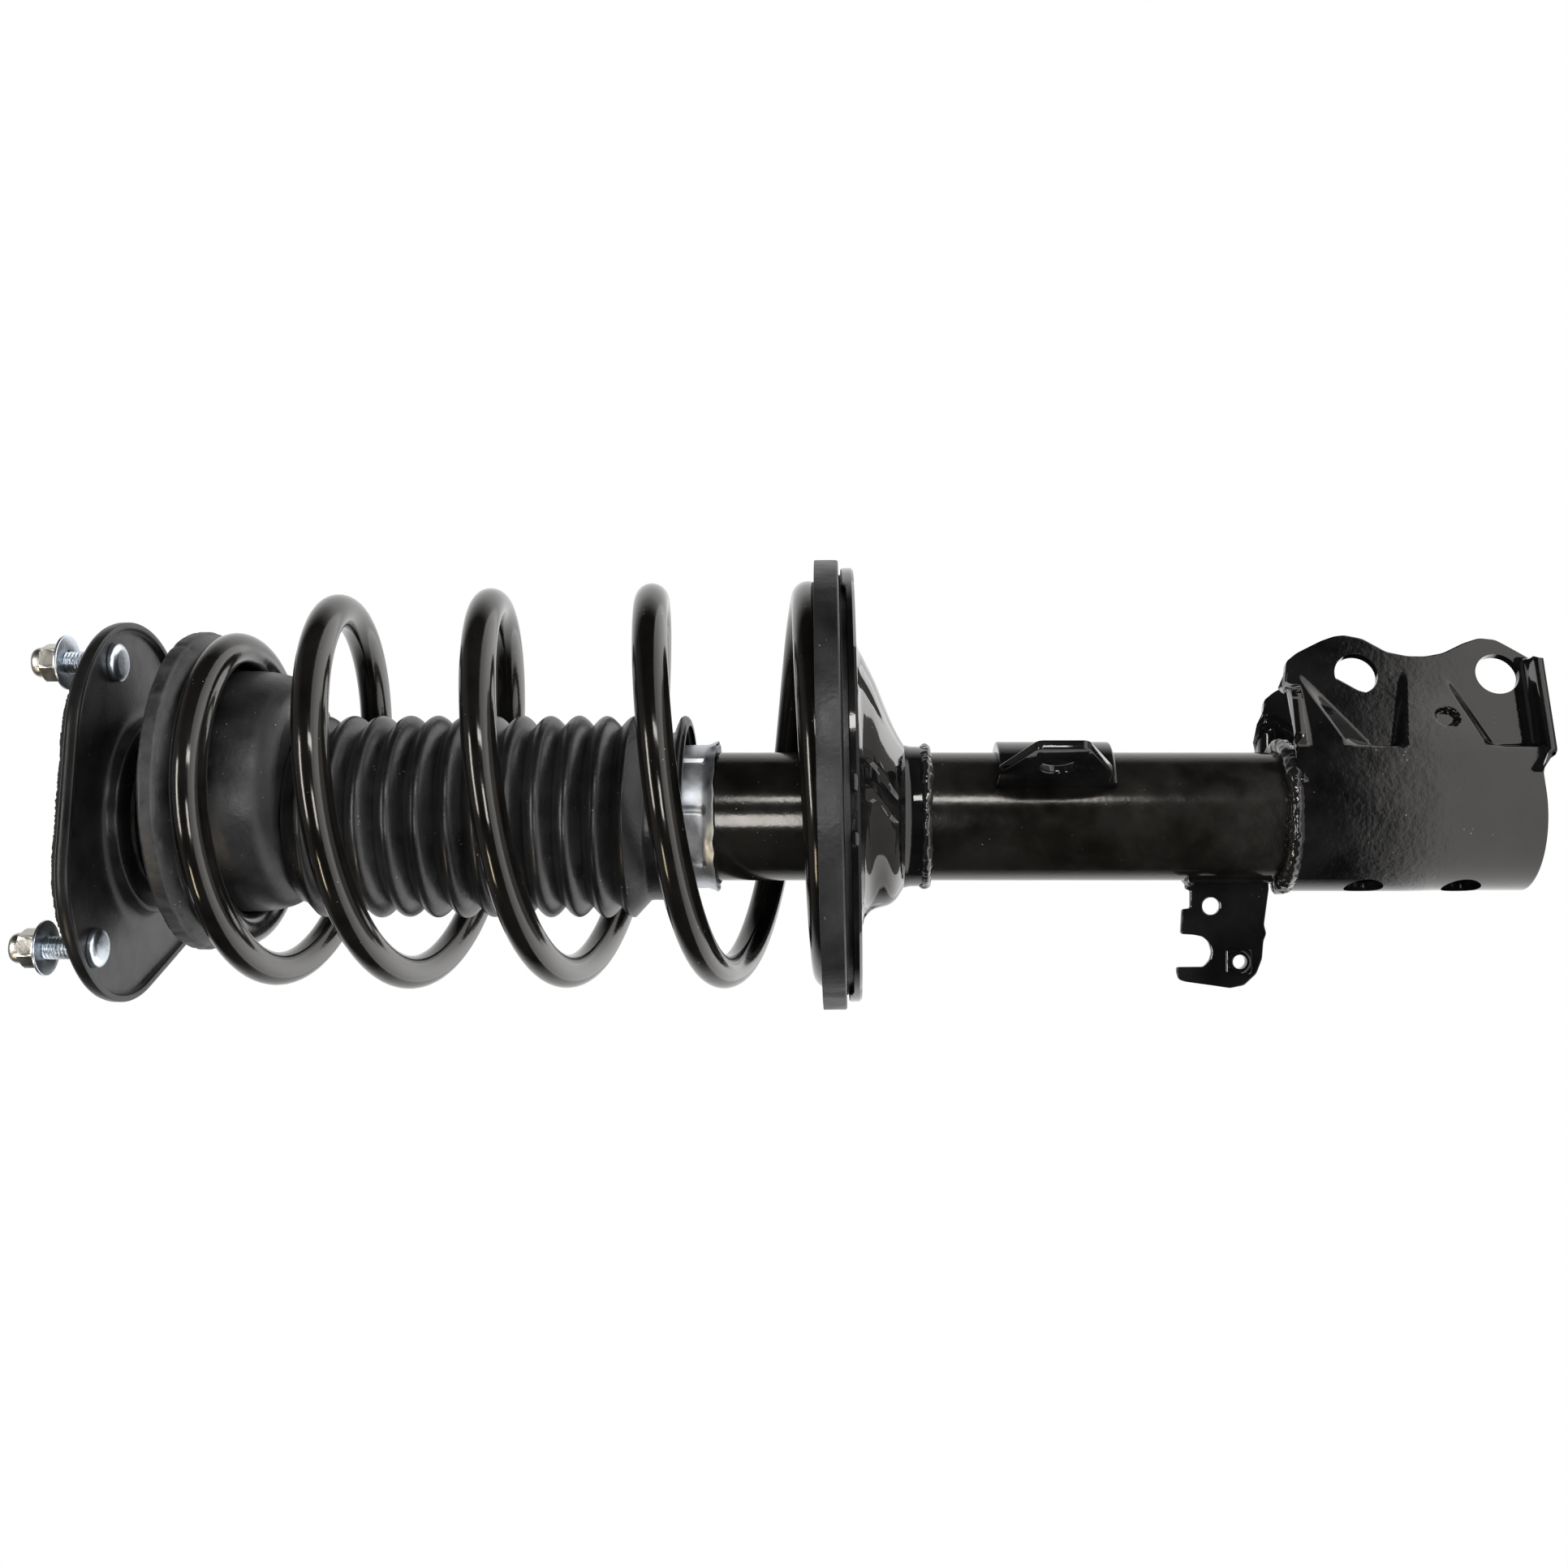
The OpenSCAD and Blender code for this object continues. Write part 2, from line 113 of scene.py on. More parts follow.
def finish_material(name, colour, dust=(0.5, 0.49, 0.47), rough=(0.1, 0.2), metal=0.0, peel=(420, 0.1),
                    swell=(60, 0.0), specks=0.0, haze=0.0, haze_scale=35, tint=(1, 1, 1), ior=1.5,
                    stretch=(1, 1, 1)):
    """A finish with mottled colour and roughness, fine bump, dust haze and small dust specks."""
    mat, tree, shader = new_material(name)
    place = add_node(tree, "ShaderNodeTexCoord").outputs["Object"]
    where = add_node(tree, "ShaderNodeMapping", {"Vector": place, "Scale": stretch}).outputs["Vector"]
    cloud = noise(tree, where, haze_scale, 6, 0.4)
    mottled = noise(tree, where, haze_scale * 4, 4)
    base = mix_colour(tree, ramp(tree, mottled, 0.3, 0.75),
                      (*[c * 0.75 for c in colour], 1), (*[min(1, c * 1.3) for c in colour], 1))
    hazed = ramp(tree, cloud, 0.42, 0.75, 0.0, haze)
    base = mix_colour(tree, hazed, base, (*dust, 1))
    cells = add_node(tree, "ShaderNodeTexVoronoi", {"Vector": where, "Scale": 480.0})
    size = noise(tree, where, 90, 2)
    dots = combine(tree, "LESS_THAN", cells.outputs["Distance"], ramp(tree, size, 0.5, 0.78, 0.0, 0.15))
    dots = combine(tree, "MULTIPLY", dots, specks)
    base = mix_colour(tree, dots, base, (*dust, 1))
    tree.links.new(base, shader.inputs["Base Color"])
    roughness = ramp(tree, mottled, 0.25, 0.75, rough[0], rough[1])
    roughness = combine(tree, "ADD", roughness, combine(tree, "MULTIPLY", hazed, 0.35))
    tree.links.new(combine(tree, "MINIMUM", roughness, 1.0), shader.inputs["Roughness"])
    fine = noise(tree, where, peel[0], 2)
    bump = add_node(tree, "ShaderNodeBump", {"Height": fine, "Strength": peel[1], "Distance": 0.0004})
    big = noise(tree, where, swell[0], 2)
    bump = add_node(tree, "ShaderNodeBump", {"Height": big, "Strength": swell[1], "Distance": 0.002,
                                             "Normal": bump.outputs["Normal"]})
    tree.links.new(bump.outputs["Normal"], shader.inputs["Normal"])
    shader.inputs["Metallic"].default_value = metal
    shader.inputs["IOR"].default_value = ior
    shader.inputs["Specular Tint"].default_value = (*tint, 1)
    return mat


GLOSS = finish_material("gloss_black", (0.004, 0.004, 0.0045), rough=(0.045, 0.09), peel=(520, 0.05),
                        swell=(70, 0.03), specks=0.55, haze=0.02, tint=(1.0, 0.97, 0.93), ior=1.55)
TUBE = finish_material("tube_black", (0.006, 0.0055, 0.0045), rough=(0.12, 0.2), peel=(520, 0.08),
                       swell=(30, 0.03), specks=0.8, haze=0.03, tint=(1.0, 0.95, 0.88), ior=1.5)
SPRING = finish_material("spring_black", (0.004, 0.0035, 0.003), rough=(0.10, 0.16), peel=(300, 0.06),
                         swell=(40, 0.05), specks=0.5, haze=0.01, tint=(1.0, 0.97, 0.92), ior=1.5)
SATIN = finish_material("satin_black", (0.006, 0.006, 0.006), rough=(0.25, 0.36), peel=(700, 0.12),
                        swell=(50, 0.04), specks=0.4, haze=0.03, dust=(0.22, 0.21, 0.2), ior=1.29)
RUBBER = finish_material("matte_rubber", (0.005, 0.005, 0.0056), rough=(0.26, 0.4), peel=(600, 0.2),
                         swell=(60, 0.1), specks=0.9, haze=0.05, dust=(0.25, 0.25, 0.26), ior=1.45)
DUSTY = finish_material("dusty_rubber", (0.007, 0.007, 0.0078), rough=(0.3, 0.5), peel=(500, 0.25),
                        swell=(55, 0.15), specks=1.0, haze=0.12, haze_scale=22, dust=(0.27, 0.27, 0.28))
BAND = finish_material("worn_band", (0.014, 0.014, 0.015), rough=(0.38, 0.6), peel=(600, 0.35),
                       swell=(80, 0.3), specks=1.0, haze=0.2, haze_scale=60, dust=(0.2, 0.2, 0.21))
ZINC = finish_material("bluish_zinc", (0.55, 0.60, 0.66), rough=(0.22, 0.36), metal=1.0, peel=(900, 0.1),
                       swell=(120, 0.05), haze=0.1, dust=(0.5, 0.48, 0.42))
NUT = finish_material("warm_zinc", (0.66, 0.64, 0.59), rough=(0.22, 0.38), metal=1.0, peel=(900, 0.1),
                      swell=(150, 0.08), haze=0.15, dust=(0.5, 0.46, 0.36))
CAP = finish_material("bright_zinc", (0.72, 0.75, 0.86), rough=(0.3, 0.44), metal=1.0, peel=(700, 0.08),
                      swell=(90, 0.1), specks=0.6, haze=0.35, haze_scale=40, dust=(0.62, 0.56, 0.40))
STEEL = finish_material("machined_steel", (0.5, 0.5, 0.5), rough=(0.25, 0.4), metal=1.0,
                        peel=(900, 0.1), stretch=(1, 1, 6))
CHROME = finish_material("ground_chrome", (0.75, 0.75, 0.76), rough=(0.06, 0.12), metal=1.0, peel=(900, 0.03))
FOAM = finish_material("cell_foam", (0.45, 0.40, 0.24), rough=(0.75, 0.95), peel=(900, 0.8), swell=(200, 0.3),
                       haze=0.1)
FELT = finish_material("gasket_felt", (0.018, 0.020, 0.018), rough=(0.8, 1.0), peel=(1400, 0.9),
                       swell=(500, 0.6), specks=0.3, haze=0.08, dust=(0.16, 0.16, 0.14))
PLASTIC = finish_material("dark_plastic", (0.12, 0.07, 0.03), rough=(0.4, 0.55), peel=(800, 0.2))
ALLOY = finish_material("sintered_alloy", (0.32, 0.31, 0.30), rough=(0.45, 0.6), metal=1.0, peel=(1200, 0.4))
WELD = finish_material("weld_paint", (0.012, 0.012, 0.013), rough=(0.06, 0.14), peel=(500, 0.5),
                       swell=(160, 0.6), specks=0.3, ior=1.6, tint=(1.0, 0.97, 0.93))
FLOOR = finish_material("pale_floor", (0.82, 0.82, 0.82), rough=(0.6, 0.8), peel=(60, 0.05),
                        dust=(0.8, 0.8, 0.8))


# ---- mesh building, in millimetres ----

def smooth_mesh(name, verts, faces, angle=38.0):
    mesh = bpy.data.meshes.new(name)
    mesh.from_pydata((np.asarray(verts, float).reshape(-1, 3) * MM).tolist(), [], faces)
    bm = bmesh.new()
    bm.from_mesh(mesh)
    bmesh.ops.remove_doubles(bm, verts=bm.verts, dist=1e-6)
    bmesh.ops.recalc_face_normals(bm, faces=bm.faces)
    bm.to_mesh(mesh)
    bm.free()
    mesh.polygons.foreach_set("use_smooth", [True] * len(mesh.polygons))
    mesh.set_sharp_from_angle(angle=math.radians(angle))
    return mesh


def piece(name, mesh, material, body, replaces=()):
    obj = bpy.data.objects.new(name, mesh)
    scene.collection.objects.link(obj)
    mesh.materials.clear()
    mesh.materials.append(material)
    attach(obj, body)
    if replaces:
        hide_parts(*replaces)
    return obj


def merged(name, parts, angle):
    """One mesh from several (verts, faces) pairs."""
    verts, faces, count = [], [], 0
    for v, f in parts:
        v = np.asarray(v, float).reshape(-1, 3)
        verts.append(v)
        faces += [tuple(i + count for i in face) for face in f]
        count += len(v)
    return smooth_mesh(name, np.concatenate(verts), faces, angle)


def solid(name, parts, angle, material, body, replaces=()):
    """A piece whose mesh is merged from several (verts, faces) pairs."""
    return piece(name, merged(name, parts, angle), material, body, replaces)


def grid(points, wrap_u=True, wrap_v=False, caps=False):
    """Vertices and quads of a grid of points; wrapping joins the last row or column to the first."""
    nu, nv = points.shape[:2]
    faces = []
    for i in range(nu if wrap_u else nu - 1):
        for j in range(nv if wrap_v else nv - 1):
            k, m = (i + 1) % nu, (j + 1) % nv
            faces.append((i * nv + j, k * nv + j, k * nv + m, i * nv + m))
    if caps:
        faces.append(tuple(i * nv for i in range(nu)))
        faces.append(tuple(i * nv + nv - 1 for i in reversed(range(nu))))
    return points.reshape(-1, 3), faces


def fillet(points, radius, steps=4, closed=True):
    """The outline with each corner rounded, radius being the length taken from both its edges."""
    pts = [Vector(p) for p in points]
    count, out = len(pts), []
    for i, p in enumerate(pts):
        r = radius[i] if isinstance(radius, (list, tuple)) else radius
        if r <= 0 or (not closed and i in (0, count - 1)):
            out.append(p)
            continue
        a, b = pts[i - 1] - p, pts[(i + 1) % count] - p
        k = min(r, a.length * 0.45, b.length * 0.45)
        s, e = p + a.normalized() * k, p + b.normalized() * k
        for t in range(steps + 1):
            u = t / steps
            out.append(s * (1 - u) ** 2 + p * (2 * u * (1 - u)) + e * u * u)
    return np.array([tuple(p) for p in out])


def rounded(rows, steps=4):
    """The closed outline of rows (radius, height, rounding), with its corners rounded."""
    return fillet([row[:2] for row in rows], [row[2] for row in rows], steps)


def wobble(theta, z, seed, waves=7, turn=6, rise=0.3):
    """Smooth, repeatable unevenness from about -1 to 1 over an angle and a height."""
    rng = np.random.RandomState(seed)
    total = np.zeros(np.broadcast(theta, z).shape)
    for _ in range(waves):
        k, f, p = rng.randint(1, turn + 1), rng.uniform(-rise, rise), rng.uniform(0, 2 * math.pi)
        total = total + np.sin(k * theta + f * z + p)
    return total / math.sqrt(waves) / 1.5


def revolve(profile, centre=(0.0, 0.0), steps=144, warp=None):
    """A lathed shape. The profile is (radius, height); warp(theta, r, z) may change both."""
    profile = np.asarray(profile, float)
    theta = np.linspace(0, 2 * math.pi, steps, endpoint=False)[:, None]
    r, z = profile[None, :, 0] + 0 * theta, profile[None, :, 1] + 0 * theta
    if warp:
        r, z = warp(theta, r, z)
    points = np.stack([centre[0] + r * np.cos(theta), centre[1] + r * np.sin(theta), z], axis=-1)
    return grid(points, True, True)


def part_turn(profile, start, end, steps):
    """A closed outline swept round the axis between two angles in degrees, with flat ends."""
    angles = np.radians(np.linspace(start, end, steps))[:, None]
    r, z = profile[None, :, 0] + 0 * angles, profile[None, :, 1] + 0 * angles
    points = np.stack([r * np.cos(angles), r * np.sin(angles), z], axis=-1)
    verts, faces = grid(points, False, True)
    count = len(profile)
    faces += [tuple(range(count)), tuple((steps - 1) * count + i for i in reversed(range(count)))]
    return verts, faces


def dense(profile, step):
    """The closed outline with extra points, so that no edge is longer than step."""
    out = []
    for a, b in zip(profile, np.roll(profile, -1, axis=0)):
        count = max(1, int(math.ceil(np.linalg.norm(b - a) / step)))
        out += [a + (b - a) * i / count for i in range(count)]
    return np.array(out)


def bead(path, radius, seed, ripple=2.1, sides=14, rough=0.18, wrap=False):
    """A weld bead: a tube along a path, whose width swells and ripples."""
    path = np.asarray(path, float)
    rng = np.random.RandomState(seed)
    heading = np.roll(path, -1, axis=0) - np.roll(path, 1, axis=0)
    if not wrap:
        heading[0], heading[-1] = path[1] - path[0], path[-1] - path[-2]
    heading /= np.linalg.norm(heading, axis=1)[:, None]
    length = np.concatenate([[0], np.cumsum(np.linalg.norm(np.diff(path, axis=0), axis=1))])
    phases = rng.uniform(0, 6.28, 6)
    swell = sum(np.sin(length / w + p) for w, p in zip((1.1, 1.7, 2.9, 4.3, 7.1, 11.3), phases)) / 3
    width = radius * (1 + rough * swell + 0.035 * np.sin(2 * math.pi * length / ripple))
    if not wrap:
        ends = np.minimum(length, length[-1] - length) / (radius * 1.2)
        width = width * np.sqrt(np.clip(ends, 0.02, 1))
    side = np.cross(heading, np.array([0.13, 0.21, 0.97]))
    side /= np.linalg.norm(side, axis=1)[:, None]
    other = np.cross(heading, side)
    phi = np.linspace(0, 2 * math.pi, sides, endpoint=False)
    jitter = 1 + 0.12 * wobble(phi[None, :], length[:, None], seed, waves=9, turn=4, rise=2.2)
    ring = (side[:, None, :] * np.cos(phi)[None, :, None]
            + other[:, None, :] * np.sin(phi)[None, :, None])
    points = path[:, None, :] + ring * (width[:, None] * jitter)[:, :, None]
    return grid(points.transpose(1, 0, 2), True, wrap, caps=not wrap)


def arc(radius, z, start, end, count):
    """Points round the axis at one height, between two angles in degrees."""
    a = np.radians(np.linspace(start, end, count))
    return np.stack([radius * np.cos(a), radius * np.sin(a), z + 0 * a], axis=1)


def sheet_mesh(name, outline, holes, thickness, bevel, place):
    """A flat sheet part with rounded edges: outline and round holes in its own plane, then placed."""
    curve = bpy.data.curves.new(name, "CURVE")
    curve.dimensions, curve.fill_mode = "2D", "BOTH"
    curve.extrude, curve.bevel_depth = (thickness / 2 - bevel) * MM, bevel * MM
    curve.offset, curve.bevel_resolution = -bevel * MM, 2
    loops = [outline] + [[(x + r * math.cos(a), y + r * math.sin(a))
                          for a in np.linspace(0, 2 * math.pi, 40, endpoint=False)] for x, y, r in holes]
    for loop in loops:
        spline = curve.splines.new("POLY")
        spline.points.add(len(loop) - 1)
        for p, (x, y) in zip(spline.points, loop):
            p.co = (x * MM, y * MM, 0, 1)
        spline.use_cyclic_u = True
    obj = bpy.data.objects.new(name, curve)
    scene.collection.objects.link(obj)
    bpy.context.view_layer.update()
    mesh = bpy.data.meshes.new_from_object(obj)
    bpy.data.objects.remove(obj)
    verts = np.array([v.co for v in mesh.vertices]) / MM
    faces = [tuple(p.vertices) for p in mesh.polygons]
    bpy.data.meshes.remove(mesh)
    m = np.array(place)
    verts = verts @ m[:3, :3].T + m[:3, 3]
    return verts, faces


def smoothstep(value, low, high):
    t = np.clip((value - low) / (high - low), 0, 1)
    return t * t * (3 - 2 * t)


def cut_holes(obj, holes):
    """Cuts round holes, each (middle, direction, radius, length) in millimetres, into a piece."""
    bm = bmesh.new()
    for middle, direction, radius, length in holes:
        turn = Vector(direction).to_track_quat("Z", "Y").to_matrix().to_4x4()
        matrix = Matrix.Translation(Vector(middle) * MM) @ turn
        bmesh.ops.create_cone(bm, cap_ends=True, segments=48, radius1=radius * MM, radius2=radius * MM,
                              depth=length * MM, matrix=matrix)
    tool_mesh = bpy.data.meshes.new("hole_tool")
    bm.to_mesh(tool_mesh)
    bm.free()
    tool = bpy.data.objects.new("hole_tool", tool_mesh)
    scene.collection.objects.link(tool)
    modifier = obj.modifiers.new("holes", "BOOLEAN")
    modifier.operation, modifier.object, modifier.solver = "DIFFERENCE", tool, "EXACT"
    bpy.context.view_layer.update()
    evaluated = obj.evaluated_get(bpy.context.evaluated_depsgraph_get())
    mesh = bpy.data.meshes.new_from_object(evaluated)
    obj.modifiers.clear()
    old = obj.data
    obj.data = mesh
    bpy.data.meshes.remove(old)
    bpy.data.objects.remove(tool)
    mesh.polygons.foreach_set("use_smooth", [True] * len(mesh.polygons))
    mesh.set_sharp_from_angle(angle=math.radians(40))


# ---- coil spring ----

WIRE_R = 6.1
COIL_Z = [(-0.6, -40.3), (0, -40.3), (0.25, -43), (0.5, -53.5), (1, -77), (1.5, -104), (2, -132.5),
          (2.5, -162), (3, -191.5), (3.5, -219.7), (3.75, -235.6), (4, -250.4), (4.25, -254.2), (4.5, -256.1),
          (5.1, -256.4)]
COIL_R = [(-0.6, 51.2), (0, 51.6), (0.25, 58.5), (0.5, 66.5), (1, 66), (1.5, 67.8), (2, 67.8), (2.5, 68),
          (3, 69), (3.5, 68.8), (4, 69.2), (5.1, 69.2)]
LEAN_SHARE = [(-0.6, 0), (0, 0), (0.5, 0.8), (1, 1), (3.5, 1), (4.3, 0)]
SEAT_FOLLOW = [(3.5, 0), (4.25, 1)]
COIL_ENDS = (-0.6, 4.85)
COIL_START_ANGLE = -20
COIL_LEAN, LEAN_ANGLE = 3.6, math.radians(-110)
COIL_HIGH, COIL_LOW = -40, -256


def coil_line(count=520):
    """The wire's middle line: its height, radius, lean and how far it follows the pan, by turns."""
    turns = np.linspace(*COIL_ENDS, count)

    def table(rows):
        value = np.interp(turns, [r[0] for r in rows], [r[1] for r in rows])
        pad = 9
        kernel = np.hanning(2 * pad + 1)
        padded = np.pad(value, pad, mode="edge")
        return np.convolve(padded, kernel / kernel.sum(), mode="valid")

    z, r, lean, follow = table(COIL_Z), table(COIL_R), table(LEAN_SHARE), table(SEAT_FOLLOW)
    angle = np.radians(COIL_START_ANGLE - 360 * turns)
    offset = UPPER_SHIFT + (LOWER_SHIFT - UPPER_SHIFT) * (z - COIL_HIGH) / (COIL_LOW - COIL_HIGH)
    height = (z + lean * COIL_LEAN * np.cos(angle - LEAN_ANGLE)
              + follow * math.tan(PAN_TILT) * r * np.cos(angle))
    return np.stack([offset + r * np.cos(angle), r * np.sin(angle), height], axis=1)


def wire_modifier(obj, radius, material, sides=28):
    """Gives a line of edges a round section that stays round when the line is squashed."""
    group = bpy.data.node_groups.new("round_wire", "GeometryNodeTree")
    group.interface.new_socket("Geometry", in_out="INPUT", socket_type="NodeSocketGeometry")
    group.interface.new_socket("Geometry", in_out="OUTPUT", socket_type="NodeSocketGeometry")
    make = group.nodes.new
    start, end = make("NodeGroupInput"), make("NodeGroupOutput")
    curve, circle = make("GeometryNodeMeshToCurve"), make("GeometryNodeCurvePrimitiveCircle")
    sweep, paint = make("GeometryNodeCurveToMesh"), make("GeometryNodeSetMaterial")
    shade, corners = make("GeometryNodeSetShadeSmooth"), make("GeometryNodeInputMeshFaceNeighbors")
    few = make("FunctionNodeCompare")
    few.data_type, few.operation = "INT", "LESS_EQUAL"
    circle.inputs["Resolution"].default_value = sides
    circle.inputs["Radius"].default_value = radius * MM
    sweep.inputs["Fill Caps"].default_value = True
    paint.inputs["Material"].default_value = material
    link = group.links.new
    link(start.outputs[0], curve.inputs["Mesh"])
    link(curve.outputs[0], sweep.inputs["Curve"])
    link(circle.outputs[0], sweep.inputs["Profile Curve"])
    link(sweep.outputs[0], shade.inputs[0])
    link(corners.outputs["Vertex Count"], few.inputs[2])
    few.inputs[3].default_value = 4
    link(few.outputs[0], shade.inputs["Selection"])
    link(shade.outputs[0], paint.inputs["Geometry"])
    link(paint.outputs[0], end.inputs[0])
    modifier = obj.modifiers.new("round_wire", "NODES")
    modifier.node_group = group


def build_spring():
    line = coil_line()
    mesh = bpy.data.meshes.new("coil")
    mesh.from_pydata((line * MM).tolist(), [(i, i + 1) for i in range(len(line) - 1)], [])
    obj = piece("coil", mesh, SPRING, "damper", ["coil_spring"])
    wire_modifier(obj, WIRE_R, SPRING)
    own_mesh(obj)


# ---- boot, insulators and stops ----

def build_boot():
    top, first, pitch, count = -64.6, -71.8, 10.35, 12
    crest, valley, wall = 37.2, 32.9, 1.6
    outside = [(30.2, top), (31.6, top - 0.3), (31.8, first + pitch / 2)]
    steps = 18
    for i in range((count - 1) * steps + 1):
        t = i / steps
        lift = abs(math.cos(math.pi * t)) ** 1.1
        outside.append((valley + (crest - valley) * lift, first - pitch * t))
    low = first - pitch * (count - 0.5)
    outside += [(31.0, low - 0.6), (30.8, low - 2), (30.8, -199.6), (31.6, -200.8), (34.6, -201.9),
                (36.7, -202.9), (37.2, -203.9), (36.9, -204.9), (36.1, -205.6), (35.2, -205.9)]
    outside = np.array(outside)
    inside = outside[::-1] - np.array([wall, 0])
    profile = np.concatenate([outside, inside])

    def warp(theta, r, z):
        sag = 0.22 * wobble(theta, z, 3, rise=0.25)
        shift = 0.35 * wobble(theta, z, 8, turn=3, rise=0.08)
        ends = smoothstep(z, -206, -200) * smoothstep(-z, 65, 72)
        return r + sag * ends, z + shift * ends

    boot = solid("boot", [revolve(profile, steps=160, warp=warp)], 60, RUBBER,
                 "rod", ["dust_boot"])
    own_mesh(boot)


def build_upper_insulator():
    low, band = -64.5, 58.8
    outer = rounded([
        (28, -27.2, 0), (57.6, -27.2, 0.2), (57.6, -24.3, 0.2), (58.1, -24.4, 0.3), (band, -25.3, 0.5),
        (band, -29.4, 0.6), (57.7, -30.6, 0.5), (54.6, -34.1, 0.8), (49, -34.1, 1.5), (44.9, -35.6, 2.5),
        (44.5, -42, 3), (44.4, -50.5, 6), (42.6, -58.4, 3), (39.2, low + 1.6, 1.4), (37.6, low + 0.2, 0.8),
        (34, low, 0.6), (28, low, 0.5), (28, -61.6, 0.5), (35.5, -61.6, 2), (41, -57, 2), (41, -30, 1),
        (28, -30, 0.5)])
    profile = dense(outer, 2.2)

    def warp(theta, r, z):
        edge = smoothstep(r, 56, 58.6)
        torn = np.clip(wobble(theta, 0 * z, 21, waves=9, turn=40), 0, 1) ** 3
        body = (1 - edge) * smoothstep(r, 43, 44.6)
        seam = np.exp(-((np.degrees(theta) - 284) / 0.6) ** 2)
        pit = np.exp(-(((np.degrees(theta) - 262) / 1.3) ** 2 + ((z + 45) / 1.2) ** 2))
        r = r - edge * (0.5 * torn + 0.12 * (1 + wobble(theta, z, 5, turn=30)))
        r = r + body * (0.18 * wobble(theta, z, 9, turn=4, rise=0.12) - 0.6 * pit + 0.25 * seam)
        return r, z + edge * 0.22 * wobble(theta, z, 12, turn=14)

    shape = revolve(profile, (UPPER_SHIFT, 0), 288, warp)
    skirt = solid("insulator_skirt", [shape], 50, DUSTY, "rod",
                  ["upper_insulator"])
    skirt.data.materials.append(BAND)
    for polygon in skirt.data.polygons:
        if math.hypot(polygon.center.x - UPPER_SHIFT * MM, polygon.center.y) > 57.7 * MM:
            polygon.material_index = 1


def tilted(verts):
    """Points of the lower seat's own frame, placed with its small tilt."""
    x, y, z = verts[:, 0], verts[:, 1], verts[:, 2] - PAN_Z
    return np.stack([LOWER_SHIFT + x * math.cos(-PAN_TILT) + z * math.sin(-PAN_TILT), y,
                     PAN_Z - x * math.sin(-PAN_TILT) + z * math.cos(-PAN_TILT)], axis=1)


def build_lower_insulator():
    pan, pad = PAN_Z, -254.0
    outer = fillet([(50, pan + 0.1), (77.4, pan + 0.1), (77.4, pan + 2.6), (82.6, pan + 2.6),
                    (83.0, pan + 3.2), (83.0, pad + 1.0), (82.2, pad), (77.4, pad), (76.5, pad - 5),
                    (75.9, pad - 8.8), (51, pad - 8.8), (50, pad - 9.6)],
                   [0.3, 0.3, 0.6, 0.3, 0.4, 0.6, 0.8, 0.6, 1, 0.6, 0.6, 0.3], 3)
    profile = dense(outer, 2.5)

    def warp(theta, r, z):
        rim = smoothstep(r, 80.5, 82.5)
        nick = np.clip(wobble(theta, 0 * z, 31, waves=9, turn=36) - 0.4, 0, 1)
        return r - rim * (0.35 * nick + 0.10 * (1 + wobble(theta, z, 33, turn=9, rise=0.5))), z

    verts, faces = revolve(profile, steps=240, warp=warp)
    pad_piece = solid("pad_ring", [(tilted(verts), faces)], 45, DUSTY,
                      "damper", ["lower_insulator"])


def build_soft_parts():
    stop = fillet([(10.2, -15.1), (22, -15.1), (22, -26), (18, -29), (21, -33), (21, -42), (17, -45),
                   (20, -49), (20, -58), (16, -61), (18, -65), (17, -74), (13, -80), (10.2, -80)],
                  [0.3, 1, 2, 2, 2, 2, 2, 2, 2, 2, 2, 3, 1, 0.3], 4)
    bump = solid("foam_stop", [revolve(
        dense(stop, 2), warp=lambda t, r, z: (r + 0.15 * wobble(t, z, 41, rise=0.5), z))], 50, FOAM,
        "rod", ["bump_stop"])
    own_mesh(bump)
    core = fillet([(18.4, -7), (24, -7.7), (33, -7.7), (33, -0.5), (29, 3.5), (24, 4.5), (18.4, 4)],
                  [0.3, 1, 0.4, 2, 2, 2, 0.3], 5)
    solid("bonded_rubber", [revolve(
        dense(core, 2), warp=lambda t, r, z: (r, z + 0.12 * wobble(t, z, 43, turn=5)
                                              * smoothstep(r, 19, 22) * smoothstep(-r, -32, -28)))], 50,
          RUBBER, "top_mount", ["mount_rubber"])
    seal = fillet([(10.05, -202), (21.15, -202), (21.15, -198), (10.05, -198)], [0.6, 0.2, 0.2, 1.2], 3)
    solid("seal_lip", [revolve(seal, steps=96)], 38, RUBBER, "damper",
          ["oil_seal"])
    ring = fillet([(10, -222), (13.6, -222), (13.6, -214.4), (10, -214.4)], 0.8, 3)
    solid("rebound_ring", [revolve(ring, steps=96)], 38, RUBBER, "rod",
          ["rebound_stop"])


# ---- top mount ----

def triangle_radius(theta, inset):
    """Distance from the middle to the edge of the rounded triangle at each angle."""
    local = (theta - math.radians(STUD_ANGLES[0]) + math.pi / 3) % (2 * math.pi / 3) - math.pi / 3
    reach, corner = 24.0, 48.0 - inset
    round_end = reach * np.cos(local) + np.sqrt(np.maximum(corner ** 2 - (reach * np.sin(local)) ** 2, 0))
    flat = (reach * 0.5 + corner) / np.cos(math.pi / 3 - np.abs(local))
    edge = math.atan2(corner * math.sin(math.pi / 3), reach + corner * 0.5)
    return np.where(np.abs(local) < edge, round_end, flat)


